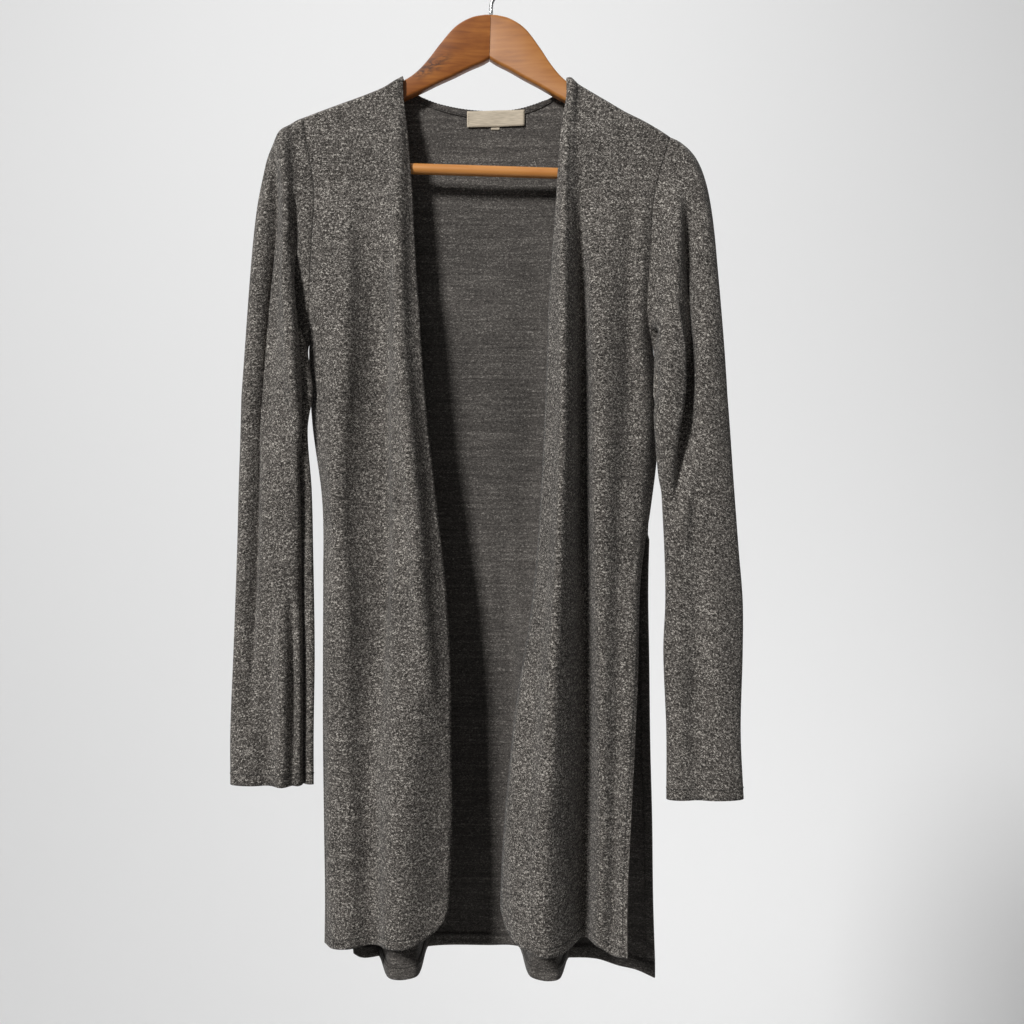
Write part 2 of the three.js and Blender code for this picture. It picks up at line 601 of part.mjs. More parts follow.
function armGeometry(side) {
  const edge = 3.5;
  const half = WOOD_WALL / 2;
  const grid = ARM.x.map((x, i) => {
    const [top, bottom] = [ARM.top[i], ARM.bottom[i]];
    const at = side * (x + MITRE_GAP / 2);
    const y = -x * SWEEP;
    const section_ = [
      [-half, top - edge], [-half + edge, top], [half - edge, top], [half, top - edge],
      [half, bottom + edge], [half - edge, bottom], [-half + edge, bottom], [-half, bottom + edge],
    ];
    return section_.map(([dy, z]) => new THREE.Vector3(at, y + dy, z));
  });
  const points = grid.flat();
  const around = grid[0].length;
  const index = [];
  for (let i = 0; i < grid.length - 1; i += 1) {
    for (let k = 0; k < around; k += 1) {
      const a = i * around + k;
      const b = i * around + ((k + 1) % around);
      index.push(a, b, b + around, a, b + around, a + around);
    }
  }
  for (let k = 1; k < around - 1; k += 1) {
    const end = (grid.length - 1) * around;
    index.push(0, k + 1, k, end, end + k, end + k + 1);
  }
  const geometry = new THREE.BufferGeometry();
  const flat = points.flatMap((p) => [p.x, p.y, p.z]);
  geometry.setAttribute('position', new THREE.Float32BufferAttribute(flat, 3));
  geometry.setIndex(index);
  return facingOut(geometry);
}

function addToHanger(name, geometry) {
  const mesh = new THREE.Mesh(geometry, wood);
  mesh.name = name;
  hanger.add(mesh);
  return mesh;
}

addToHanger('hanger_right_arm', armGeometry(-1));
addToHanger('hanger_left_arm', armGeometry(1));
const bar = addToHanger('hanger_bar', new THREE.CylinderGeometry(BAR.radius, BAR.radius, 2 * BAR.halfLength, 20));
bar.rotation.z = Math.PI / 2;
bar.position.set(0, BAR.y, BAR.z);

// The hook: a loop of wire over the origin, and a straight shank down to the wood
function hookGeometry() {
  const radius = HOOK.loop + HOOK.wire;
  const centreZ = -HOOK.loop;
  const points = [];
  for (let degrees = 205; degrees >= -55; degrees -= 13) {
    const angle = THREE.MathUtils.degToRad(degrees);
    points.push(new THREE.Vector3(radius * Math.cos(angle), 0, centreZ + radius * Math.sin(angle)));
  }
  points.push(new THREE.Vector3(3.2, 0, -44));
  points.push(new THREE.Vector3(0, 0, HOOK.shankTop));
  points.push(new THREE.Vector3(0, 0, WOOD_TOP_Z + LAY_GAP));
  const route = new THREE.CatmullRomCurve3(points);
  const round = new THREE.Shape().absarc(0, 0, HOOK.wire, 0, Math.PI * 2);
  const options = { steps: 34, curveSegments: 5, bevelEnabled: false, extrudePath: route };
  return new THREE.ExtrudeGeometry(round, options);
}
const steel = new THREE.MeshStandardMaterial({ color: COLOURS.wire, roughness: 0.3, metalness: 1 });
add('hanger_hook', hookGeometry(), steel);

export default cardigan;
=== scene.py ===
import math

import bpy
import numpy as np
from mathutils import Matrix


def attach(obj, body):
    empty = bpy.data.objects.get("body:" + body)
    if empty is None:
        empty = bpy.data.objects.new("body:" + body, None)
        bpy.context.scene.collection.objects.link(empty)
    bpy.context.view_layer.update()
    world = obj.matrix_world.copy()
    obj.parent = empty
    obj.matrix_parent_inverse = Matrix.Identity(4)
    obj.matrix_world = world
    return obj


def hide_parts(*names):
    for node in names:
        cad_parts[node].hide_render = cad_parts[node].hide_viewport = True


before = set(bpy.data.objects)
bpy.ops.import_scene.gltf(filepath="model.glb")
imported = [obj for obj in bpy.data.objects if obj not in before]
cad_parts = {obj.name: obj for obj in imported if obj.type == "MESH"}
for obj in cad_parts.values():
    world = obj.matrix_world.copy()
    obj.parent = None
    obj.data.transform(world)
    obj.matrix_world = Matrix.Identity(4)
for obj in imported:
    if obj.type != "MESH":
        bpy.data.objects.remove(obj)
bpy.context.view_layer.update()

# A duster cardigan in grey heathered knit, on a wooden hanger. The tables are in millimetres,
# and every piece is built in metres.
MM = 0.001

# Cloth sizes
WALL = 1.5
SEAM_GAP = 0.3
STRIP_WALL = 0.8
LAY_GAP = 0.3
LABEL_WALL = 0.5

# Heights
UNDERARM_Z = -391
SLIT_TOP_Z = -580
HEM_DEPTH = 13

# Point counts of the fine shells
ARMHOLE_ROWS = 48
SIDE_ROWS = 36
SKIRT_ROWS = 78
HEM_ROWS = 4
RIGHT_FRONT_SUB = 12
LEFT_FRONT_SUB = 9
NECK_COLUMNS = 40
CAP_ROWS = 44
SLEEVE_ROWS = 90

# The place of the eye for which outline widths are given, and the camera's own
VIEW_X = 21
VIEW_DISTANCE = 1200
CAMERA_Z = -558
SENSOR_WIDTH = 36
FRAME_WIDTH = 1024

# The hanger
TILT = math.radians(1.8)
SWEEP = math.tan(math.radians(5))
WOOD_TOP_Z = -62
OVER_RADIUS = 5

# How a sleeve leaves its armhole
UNDERARM_OUT = 5
UNDERARM_LEAN = -4
CAP_LEAN = 0.075
CAP_REACH = (0.68, 0.4)
CAP_DROP = (-13.5, -9)
SLEEVE_ROUNDNESS = (0.8, 0.75)
SLEEVE_FOLD_WIDTH = 0.13

# How rows and columns crowd together near seams
ARMHOLE_CROWDING = 1.25
NECK_CROWDING = 0.75
CAP_CROWDING = 0.9

# How often the top of a front's column is worked out again, and from where
TOP_ROUNDS = 6
TOP_START_Z = -150.0

# Lengths over which a fold starts, and rows and columns over which folds fade in beside a seam
FOLD_FADE = 40
SLEEVE_FADE_ROWS = 6
PANEL_FADE_ROWS = 12
FADE_COLUMNS = 6
OPEN_ROWS = 4

# How seams are mitred
MITRE_ROUNDS = 60
MITRE_LIMIT = 2.5

RIGHT_FRONT = {
    "columns": ["side", "turn", "swell", "hollow", "ridge", "edge"],
    "rows": [
        (-147, [-190, -169, -146, -119, -98, -88], [-27, -25, -22, -19, -21, -17]),
        (-186, [-186, -167, -146, -119, -97, -84], [-27, -26, -25, -23.5, -27, -22]),
        (-244, [-177, -163, -146, -119, -98, -79], [-25, -27, -26, -24.5, -31, -24]),
        (-303, [-180, -166, -147, -119, -98, -76], [-22, -28, -28, -24, -34, -26]),
        (-361, [-182, -168, -149, -119, -97, -72], [-18, -26, -31, -24, -37, -29]),
        (-395, [-181, -169, -150, -119, -97, -70], [-8, -22, -32, -24, -38, -30]),
        (-468, [-178, -171, -155, -123, -90, -64], [-8, -20, -32, -22, -42, -28]),
        (-546, [-168, -163, -155, -126, -84, -55], [-8, -20, -30, -22, -44, -28]),
        (-624, [-167, -162, -146, -123, -77, -46], [-12, -23, -34, -26, -46, -30]),
        (-702, [-167, -162, -146, -121, -74, -41], [-14, -25, -36, -28, -48, -31]),
        (-780, [-167, -161, -146, -122, -80, -40], [-15, -27, -38, -31, -49, -30]),
        (-858, [-166, -160, -143, -122, -90, -39], [-16, -28, -39, -34, -51, -31]),
        (-936, [-165, -159, -143, -121, -96, -42], [-17, -29, -41, -37, -52, -34]),
        (-995, [-166, -158, -143, -121, -97, -45], [-18, -30, -42, -38, -52, -36]),
    ],
    "hem": [-982, -982, -980, -978, -975.5, -975.5],
    "corner": (4, 34),
}

LEFT_FRONT = {
    "columns": ["side", "turn", "outer", "inner", "valley", "roll wall", "roll crest", "edge"],
    "rows": [
        (-147, [181, 160, 130, 101, 88, 84, 80, 76], [-27, -25, -21, -18, -17, -21, -22, -17]),
        (-186, [180, 160, 130, 101, 87, 81, 76, 70], [-27, -26, -24.5, -23.5, -23.2, -26, -28, -23]),
        (-244, [164, 152, 131, 102, 88, 79, 73, 66], [-25, -27, -25.5, -25, -24, -31, -35, -23.5]),
        (-303, [159, 150, 131, 103, 90, 80, 71, 62], [-22, -27, -26, -27, -22.5, -37, -43, -24]),
        (-361, [156, 148, 131, 105, 92, 80, 71, 58], [-18, -26, -27, -30, -21, -41, -49, -26]),
        (-395, [161, 150, 131, 106, 92, 80, 71, 57], [-8, -23, -27, -31, -21, -43, -51, -26]),
        (-468, [167, 156, 134, 107, 92, 80, 70, 54], [-6, -23, -28, -34, -21, -47, -56, -26]),
        (-546, [160, 150, 131, 107, 92, 79, 67, 50], [-8, -22, -28, -36, -21, -51, -61, -27]),
        (-624, [149, 144, 129, 109, 93, 77, 64, 44], [-19, -28, -30, -37, -22, -54, -65, -27]),
        (-702, [147, 142, 129, 111, 94, 75, 59, 34], [-29, -34, -32, -38, -22, -57, -69, -28]),
        (-780, [144, 138, 127, 111, 95, 74, 55, 24], [-37, -39, -35, -40, -23, -59, -72, -28]),
        (-858, [140, 135, 125, 111, 94, 72, 50, 15], [-44, -43, -38, -42, -24, -61, -74, -28]),
        (-936, [137, 133, 123, 109, 92, 72, 47, 10], [-50, -47, -41, -44, -25, -62, -75, -29]),
        (-995, [137, 132, 121, 107, 91, 72, 49, 12], [-55, -51, -44, -45, -28, -61, -74, -30]),
    ],
    "hem": [-984, -985, -985, -977, -975, -977, -976, -976],
    "corner": (6, 31),
}

# The back without the two rolls of its hem
BACK = {
    "columns": ["side", "flank", "mid right", "middle", "mid left", "flank", "side"],
    "rows": [
        (-147, [-190, -161, -105, 0, 104, 149, 181], [-6, -2, 4, 10, 4, -1, -6]),
        (-186, [-186, -157, -105, 0, 103, 147, 180], [-2, 2, 6, 11, 6, 2, -2]),
        (-244, [-177, -151, -104, 0, 101, 141, 164], [4, 6, 9, 12, 9, 6, 4]),
        (-303, [-180, -157, -105, -2, 100, 140, 159], [6, 8, 11, 14, 11, 8, 6]),
        (-361, [-182, -162, -106, -5, 99, 139, 156], [3, 8, 13, 15, 12, 9, 3]),
        (-395, [-181, -164, -107, -6, 100, 141, 161], [-8, 6, 14, 16, 13, 8, -8]),
        (-468, [-178, -162, -107, -6, 108, 149, 167], [-8, 7, 16, 19, 15, 9, -6]),
        (-546, [-168, -151, -106, -6, 103, 144, 160], [-8, 10, 18, 22, 16, 8, -8]),
        (-627, [-166, -146, -104, -6, 99, 139, 157], [-3, 14, 22, 26, 22, 14, 2]),
        (-708, [-163, -143, -103, -4, 99, 139, 158], [0, 18, 26, 29, 25, 20, 8]),
        (-790, [-158, -136, -103, -3, 99, 139, 159], [4, 22, 30, 33, 29, 25, 14]),
        (-871, [-151, -129, -103, -3, 99, 141, 161], [8, 25, 34, 37, 32, 29, 20]),
        (-953, [-143, -123, -103, -3, 99, 143, 162], [10, 27, 37, 41, 34, 33, 26]),
        (-1020, [-135, -118, -104, -3, 99, 145, 164], [10, 28, 39, 44, 36, 36, 30]),
    ],
}
BACK_HEM = (
    [-137, -128, -110, -90, -70, -62, 0, 28, 37, 54, 72, 104, 128, 146, 164],
    [-1001, -1010, -1014, -1018, -1014, -1007, -1006, -1006.5, -1014, -1018.5, -1017, -1017,
     -1024.5, -1029, -1035],
)

# The two rolls of the back's hem. They fade upwards, where they are also broader.
ROLL_MIDDLES = [-88, 53.5]
ROLL_HALF = 19
ROLL_POWER = 8
ROLL_Z = [-540, -627, -708, -790, -871, -953, -1020]
ROLL_DEPTH = [0, 7, 16, 27, 38, 50, 61]
ROLL_SPREAD = [2.2, 1.9, 1.6, 1.4, 1.2, 1.08, 1]

RIGHT_SHOULDER = (
    [-190, -176, -156, -136, -116, -106, -96, -88],
    [-172, -166.4, -158.4, -150.5, -142.2, -137.8, -131.6, -126.5],
)
LEFT_SHOULDER = (
    [76, 80, 84, 94, 114, 134, 154, 174, 181],
    [-127.8, -129, -132.3, -138.8, -151.1, -163.6, -174.1, -186.3, -191.5],
)
BACK_NECK = (
    [-88, -86.5, -82, -66, -51, -31, -11, 12, 29, 44, 60, 71, 74.5, 76],
    [-126.5, -128.5, -134, -143, -148, -152, -154, -154, -152, -148, -142, -134.5, -129.8, -127.8],
)

# Sleeve rings: height, outer and inner x as seen, y of the middle, half depth, depth of the front
# fold, and how far the inner end lies forward of the outer one
RIGHT_SLEEVE = {
    "side": -1, "end": -828, "fold_at": 0.42, "cap_out": 47,
    "rows": [
        (-443, -249, -178.5, -10, 17, 6, -10),
        (-476, -250, -184, -9, 17, 5, -7),
        (-536, -252, -180, -8, 16, 3, -2),
        (-596, -253.5, -178.5, -8, 15, 2, 0),
        (-696, -257, -177, -8, 14, 4, 0),
        (-776, -260, -178, -8, 13, 4, 0),
        (-828, -260, -178, -8, 12, 3, 0),
    ],
}
LEFT_SLEEVE = {
    "side": 1, "end": -842, "fold_at": 0.6, "cap_out": 45,
    "rows": [
        (-443, 235, 163, -12, 17, 7, -8),
        (-476, 238, 168.5, -12, 17, 6, -6),
        (-536, 242.5, 171, -11, 16, 4, -2),
        (-596, 247, 174, -10, 15, 2, 0),
        (-646, 251, 175, -10, 15, 2, 0),
        (-696, 251, 173, -10, 14, 3, 0),
        (-776, 249, 176, -10, 13, 3, 0),
        (-842, 252, 176, -10, 12, 2, 0),
    ],
}


# Interpolation
def along(keys, values, at):
    """Smooth curve through a row of values, held at its ends."""
    keys = np.asarray(keys, float)
    values = np.asarray(values, float)
    at = np.asarray(at, float)
    if keys[-1] < keys[0]:
        keys, values = keys[::-1], values[::-1]
    inside = np.clip(at, keys[0], keys[-1])
    i = np.clip(np.searchsorted(keys, inside, side="right") - 1, 0, len(keys) - 2)
    before = np.maximum(np.arange(len(keys)) - 1, 0)
    after = np.minimum(np.arange(len(keys)) + 1, len(keys) - 1)
    slope = (values[after] - values[before]) / (keys[after] - keys[before])
    step = keys[i + 1] - keys[i]
    t = (inside - keys[i]) / step
    return (
        (1 + 2 * t) * (1 - t) ** 2 * values[i]
        + t * (1 - t) ** 2 * step * slope[i]
        + t * t * (3 - 2 * t) * values[i + 1]
        + t * t * (t - 1) * step * slope[i + 1]
    )


def mix(a, b, t):
    return a + (b - a) * t


def smooth(t):
    t = np.clip(t, 0, 1)
    return t * t * (3 - 2 * t)


def seen(x, y, z):
    """A point whose x is given as it looks from the front."""
    nearer = (VIEW_DISTANCE + y) / VIEW_DISTANCE
    return np.stack([VIEW_X + (x - VIEW_X) * nearer, y, z], axis=-1)


def unseen(point):
    nearer = (VIEW_DISTANCE + point[..., 1]) / VIEW_DISTANCE
    return VIEW_X + (point[..., 0] - VIEW_X) / nearer


def over_wood(y, x, drop):
    """The cloth's turn over the wood, drop millimetres below the shoulder."""
    t = np.clip(drop / OVER_RADIUS, 0, 1)
    return mix(-np.abs(x) * SWEEP, y, np.sqrt(1 - (1 - t) ** 2))


def table_columns(table, z):
    """Control values for many heights at once: arrays of heights by columns."""
    keys = [row[0] for row in table["rows"]]
    columns = range(len(table["columns"]))
    x = np.stack([along(keys, [row[1][i] for row in table["rows"]], z) for i in columns], -1)
    y = np.stack([along(keys, [row[2][i] for row in table["rows"]], z) for i in columns], -1)
    return x, y


def x_at(table, z, place):
    """x of a table at one height and one place along its columns."""
    x = table_columns(table, np.array([z]))[0][0]
    return float(along(np.arange(len(x)), x, place))


# Row heights
ROWS = ARMHOLE_ROWS + SIDE_ROWS + SKIRT_ROWS


def row_z(i, top, hem):
    if i <= ARMHOLE_ROWS:
        return mix(top, UNDERARM_Z, float(smooth((i / ARMHOLE_ROWS) ** ARMHOLE_CROWDING)))
    if i <= ARMHOLE_ROWS + SIDE_ROWS:
        return mix(UNDERARM_Z, SLIT_TOP_Z, (i - ARMHOLE_ROWS) / SIDE_ROWS)
    skirt = i - ARMHOLE_ROWS - SIDE_ROWS
    above = SKIRT_ROWS - HEM_ROWS
    if skirt <= above:
        return mix(SLIT_TOP_Z, hem + HEM_DEPTH, skirt / above)
    return mix(hem + HEM_DEPTH, hem, (skirt - above) / HEM_ROWS)


def along_rows(keys, values, at):
    """along() with its own keys and values for each row of at."""
    return np.stack([along(k, v, a) for k, v, a in zip(keys, values, at)])


def front_grid(table, shoulder, sub):
    corner_from, corner_radius = table["corner"]
    spans = len(table["columns"]) - 1
    places = np.arange(spans * sub + 1) / sub
    tops = []
    for place in places:
        z = TOP_START_Z
        for _ in range(TOP_ROUNDS):
            z = float(along(*shoulder, x_at(table, z, place)))
        tops.append(z)
    turn = np.clip((places - corner_from) / (spans - corner_from), 0, 1)
    lift = corner_radius * (1 - np.sqrt(1 - turn * turn))
    hems = along(np.arange(spans + 1), table["hem"], places) + lift
    z = np.array([[row_z(i, top, hem) for top, hem in zip(tops, hems)] for i in range(ROWS + 1)])
    grid = np.zeros(z.shape + (3,))
    for j, place in enumerate(places):
        x_columns, y_columns = table_columns(table, z[:, j])
        keys = [np.arange(spans + 1)] * len(z)
        x = along_rows(keys, x_columns, np.full(len(z), place))
        y = along_rows(keys, y_columns, np.full(len(z), place))
        grid[:, j] = seen(x, over_wood(y, x, tops[j] - z[:, j]), z[:, j])
    return grid


def roll_forward(x, z):
    """How far the two rolls bring the back forward."""
    depth = along(ROLL_Z, ROLL_DEPTH, z)
    spread = along(ROLL_Z, ROLL_SPREAD, z)
    bumps = [np.exp(-((np.abs(x - middle) / (ROLL_HALF * spread)) ** ROLL_POWER)) for middle in ROLL_MIDDLES]
    return depth * sum(bumps)


def back_grid(right, left):
    right_top = right[0]
    left_top = left[0][::-1]
    neck_x = mix(BACK_NECK[0][0], BACK_NECK[0][-1], neck_shares())
    neck_z = along(BACK_NECK[0], BACK_NECK[1], neck_x)
    tops_x = np.concatenate([unseen(right_top), neck_x, unseen(left_top)])
    tops_z = np.concatenate([right_top[:, 2], neck_z, left_top[:, 2]])
    shoulder = np.concatenate([right_top[:, 2], np.full(len(neck_x), BACK_NECK[1][0]), left_top[:, 2]])
    last = len(tops_x) - 1
    high = (tops_x - tops_x[0]) / (tops_x[-1] - tops_x[0])
    low = np.arange(last + 1) / last
    hem_x = np.array(BACK["rows"][-1][1], float)
    z = np.zeros((ROWS + 1, last + 1))
    share = np.zeros_like(z)
    for i in range(ROWS + 1):
        share[i] = mix(high, low, min(1, i / ARMHOLE_ROWS))
        hems = along(*BACK_HEM, mix(hem_x[0], hem_x[-1], share[i]))
        z[i] = [row_z(i, top, hem) for top, hem in zip(tops_z, hems)]
    grid = np.zeros(z.shape + (3,))
    for j in range(last + 1):
        x_columns, y_columns = table_columns(BACK, z[:, j])
        x = mix(x_columns[:, 0], x_columns[:, -1], share[:, j])
        y = along_rows(x_columns, y_columns, x) - roll_forward(x, z[:, j])
        grid[:, j] = seen(x, over_wood(y, x, shoulder[j] - z[:, j]), z[:, j])
    grid[0, : len(right_top)] = right_top
    grid[0, last + 1 - len(left_top):] = left_top
    closed = slice(ARMHOLE_ROWS, ARMHOLE_ROWS + SIDE_ROWS + 1)
    grid[closed, 0] = right[closed, 0]
    grid[closed, last] = left[closed, 0]
    return grid


def neck_shares():
    """Columns between the neck points, close together at both ends."""
    t = np.arange(1, NECK_COLUMNS) / NECK_COLUMNS
    return mix(t, smooth(t), NECK_CROWDING)


def ring_at(sleeve, z):
    keys = [row[0] for row in sleeve["rows"]]
    outer, inner, middle, half, fold, skew = [
        float(along(keys, [row[n] for row in sleeve["rows"]], z)) for n in range(1, 7)
    ]
    angle = np.arange(2 * ARMHOLE_ROWS) / (2 * ARMHOLE_ROWS) * 2 * math.pi
    cos, sin = np.cos(angle), np.sin(angle)
    across = np.sign(cos) * np.abs(cos) ** SLEEVE_ROUNDNESS[0]
    depth = np.sign(sin) * np.abs(sin) ** SLEEVE_ROUNDNESS[1]
    share = (1 - across) / 2
    bump = np.where(sin > 0, np.exp(-(((share - sleeve["fold_at"]) / SLEEVE_FOLD_WIDTH) ** 2)), 0)
    x = mix(outer, inner, share)
    y = middle - depth * half + bump * fold + share * skew
    return seen(x, y, np.full(len(x), z))


def sleeve_grid(sleeve, armhole):
    top = sleeve["rows"][0][0]
    full = ring_at(sleeve, top)
    count = len(armhole)
    k = np.arange(count)
    low = np.where(k <= ARMHOLE_ROWS, k / ARMHOLE_ROWS, 2 - k / ARMHOLE_ROWS)
    reach = np.linalg.norm(full - armhole, axis=1)
    out = mix(sleeve["cap_out"], UNDERARM_OUT, low ** 0.8)
    rise = reach * mix(*CAP_REACH, low)
    lean = -sleeve["side"] * CAP_LEAN * rise * (1 - low)
    first = armhole + np.stack([sleeve["side"] * out, UNDERARM_LEAN * low, mix(*CAP_DROP, low)], -1)
    second = full + np.stack([lean, np.zeros(count), rise], -1)
    rows = []
    for i in range(CAP_ROWS):
        t = (i / CAP_ROWS) ** CAP_CROWDING
        rows.append(
            (1 - t) ** 3 * armhole
            + 3 * t * (1 - t) ** 2 * first
            + 3 * t * t * (1 - t) * second
            + t ** 3 * full
        )
    for i in range(SLEEVE_ROWS + 1):
        rows.append(ring_at(sleeve, mix(top, sleeve["end"], i / SLEEVE_ROWS)))
    return np.array(rows)


def armhole_of(front, back, column):
    down = front[: ARMHOLE_ROWS + 1, 0]
    up = back[1:ARMHOLE_ROWS, column][::-1]
    return np.concatenate([down, up])


def crease(widths, *points, push="normal", fade=FOLD_FADE):
    """A soft fold: the widths of its two sides, and its path of (z, x seen, depth out of the cloth)."""
    heights, middle, depth = zip(*points)
    return {"z": heights, "x": middle, "depth": depth, "widths": widths, "push": push, "fade": fade}


# Soft folds of the fronts and the back
FOLDS = {
    "right_front": [
        crease((7, 3), (-128, -97, -2), (-300, -98, -3.4), (-410, -94, -3), (-500, -88, -2.4),
               (-586, -81, -1.6), (-700, -73, 0)),
        crease((6, 9), (-150, -94, 2.7), (-300, -95, 7.2), (-410, -91, 8.1), (-500, -84, 9),
               (-586, -76, 9.9), (-643, -73, 9), (-700, -67, 5.4), (-758, -60, 0)),
        crease((13, 9), (-290, -107, -2), (-385, -110, -8), (-470, -112, -12), (-586, -111, -13.5),
               (-672, -112, -12), (-800, -115, 0)),
        crease((9, 9), (-210, -144, 0), (-327, -144, 4.6), (-412, -146, 5.4), (-500, -150, 4),
               (-600, -150, 3), (-760, -149, 0)),
        crease((12, 24), (-600, -98, 0), (-700, -95, 4), (-800, -92, 6.5), (-873, -91, 8), (-978, -90, 8)),
        crease((12, 8), (-740, -120, 0), (-860, -118, -5), (-978, -116, -4)),
        crease((6, 9), (-560, -156, 0), (-700, -158, 3.6), (-860, -157, 4.3), (-980, -155, 3.6)),
    ],
    "left_front": [
        crease((11, 6), (-236, 88, 0), (-262, 90, -4), (-330, 93, -9.5), (-430, 95, -10.5), (-546, 95, -10),
               (-702, 98, -9), (-858, 98, -7), (-976, 96, -6), push="y"),
        crease((11, 7), (-230, 141, 0), (-330, 140, -7), (-430, 141, -6.5), (-560, 141, 0)),
        crease((9, 11), (-300, 113, 0), (-420, 115, 2), (-560, 116, 2.4), (-700, 116, 0)),
        crease((8, 8), (-420, 128, 0), (-560, 127, -1.4), (-720, 126, -1.6), (-900, 124, -1)),
        crease((8, 6), (-620, 134, 0), (-760, 133, 1.8), (-900, 131, 2.4), (-980, 129, 2.4)),
        crease((6, 7), (-330, 66, 0), (-500, 62, -2), (-640, 54, -3), (-760, 42, -3), (-900, 34, 0)),
        crease((8, 8), (-660, 36, 0), (-760, 30, 3.6), (-880, 24, 4.7), (-960, 26, 2.7)),
    ],
    "back": [
        crease((14, 14), (-260, -60, 0), (-420, -62, -2), (-600, -64, -2.5), (-700, -66, 0)),
        crease((18, 16), (-240, -10, 0), (-400, -16, 2.2), (-600, -20, 3), (-800, -20, 2.4), (-960, -20, 0)),
        crease((22, 14), (-240, 46, 0), (-400, 42, 5), (-560, 36, 6), (-700, 26, 5), (-860, 16, 0)),
        crease((14, 14), (-500, 90, 0), (-700, 92, 2.5), (-900, 96, 0)),
        crease((12, 12), (-480, -120, 0), (-700, -116, 2.2), (-880, -112, 0)),
        crease((10, 10), (-560, 124, 0), (-760, 124, -2.5), (-960, 126, -1)),
    ],
}
# The same on the sleeves, for the half that faces forward and the half that faces back
SLEEVE_FOLDS = {
    ("right_sleeve", "front"): [
        crease((9, 9), (-205, -218, -9), (-281, -218, -14), (-396, -227, -15), (-511, -236, -15),
               (-626, -239, -14), (-712, -241, -10), (-790, -242, 0)),
        crease((7, 5), (-165, -206, 2), (-200, -206, 9), (-281, -204, 11), (-338, -201, 11),
               (-425, -197, 11), (-482, -191, 9), (-568, -185, 7), (-640, -180, 0)),
        crease((6, 6), (-230, -196, 0), (-281, -197, -8.5), (-338, -191, -17), (-396, -185, -13.6)),
        crease((5, 5), (-470, -192, 0), (-499, -189, -11.9), (-568, -184, -10.2), (-620, -182, 0)),
        crease((7, 5), (-620, -210, 0), (-672, -208, 5.1), (-740, -207, 6.8), (-828, -208, 6.8)),
        crease((5, 4), (-620, -202, 0), (-680, -199, -6.1), (-760, -198, -6.1), (-826, -199, -3.4)),
        crease((5, 6), (-640, -191, 0), (-720, -190, 4.1), (-828, -190, 3.4)),
        crease((8, 8), (-560, -222, 0), (-700, -224, -2.7), (-826, -224, -1.7)),
    ],
    ("right_sleeve", "back"): [
        crease((12, 12), (-230, -228, 0), (-400, -228, 4), (-560, -224, 0)),
        crease((9, 9), (-280, -206, 0), (-440, -206, -4), (-600, -208, 0)),
        crease((10, 10), (-560, -232, 0), (-700, -236, -2.4), (-820, -236, -1)),
        crease((10, 10), (-560, -206, 0), (-700, -206, 2.6), (-826, -206, 2)),
    ],
    ("left_sleeve", "front"): [
        crease((14, 3.5), (-225, 186, 0.8), (-281, 188, 8.5), (-396, 188, 13.6), (-453, 186, 11.9),
               (-511, 182, 6.8), (-560, 178, 0)),
        crease((4, 10), (-240, 195, 0), (-281, 196, -10.2), (-338, 197, -15.3), (-396, 197, -15.3),
               (-453, 193, -13.6), (-511, 188, -6.8), (-570, 183, 0)),
        crease((8, 7), (-470, 206, 0), (-511, 201, 4.1), (-560, 195, 4.4), (-620, 188, 0)),
        crease((7, 6), (-376, 163, -14), (-392, 160, -12), (-430, 164, -8), (-460, 168, 0), fade=6),
        crease((8, 8), (-340, 176, 0), (-400, 175, 5.1), (-470, 173, 5.1), (-560, 178, 0)),
        crease((14, 12), (-560, 222, 0), (-680, 226, 3.4), (-800, 226, 0)),
        crease((12, 12), (-600, 204, 0), (-720, 206, -3.4), (-842, 208, -2.7)),
        crease((12, 14), (-300, 218, 0), (-420, 222, 3.4), (-540, 224, 0)),
    ],
    ("left_sleeve", "back"): [
        crease((12, 12), (-240, 204, 0), (-400, 208, 4), (-580, 212, 0)),
        crease((9, 9), (-280, 184, 0), (-440, 186, -4), (-600, 190, 0)),
        crease((10, 10), (-560, 228, 0), (-700, 232, -2.4), (-838, 230, -1)),
        crease((10, 10), (-600, 196, 0), (-720, 198, 2.6), (-840, 198, 2)),
    ],
}


def fold_height(folds, x, z, push="normal"):
    """Height of a set of folds at points given by their x as seen and their z."""
    total = np.zeros_like(x)
    for fold in folds:
        if fold["push"] != push:
            continue
        depth = along(fold["z"], fold["depth"], z)
        if fold["depth"][-1] == 0:
            depth = depth * smooth((z - min(fold["z"])) / fold["fade"])
        depth = depth * smooth((max(fold["z"]) - z) / fold["fade"])
        side = x - along(fold["z"], fold["x"], z)
        width = np.where(side < 0, fold["widths"][0], fold["widths"][1])
        total += depth * np.exp(-((side / width) ** 2))
    return total


def fade_at_seams(panel, closed_rows):
    """Nought at the panel's seams and one away from them."""
    rows, columns = panel.grid.shape[:2]
    i = np.arange(rows)[:, None]
    j = np.arange(columns)[None, :]
    if panel.ring:
        return smooth(i / SLEEVE_FADE_ROWS) * np.ones((1, columns))
    fade = smooth(i / PANEL_FADE_ROWS) * np.ones((1, columns))
    from_seam = np.minimum(j, columns - 1 - j) if panel.name == "back" else j
    beside = smooth(from_seam / FADE_COLUMNS)
    return np.where(i <= closed_rows, fade * beside, fade)


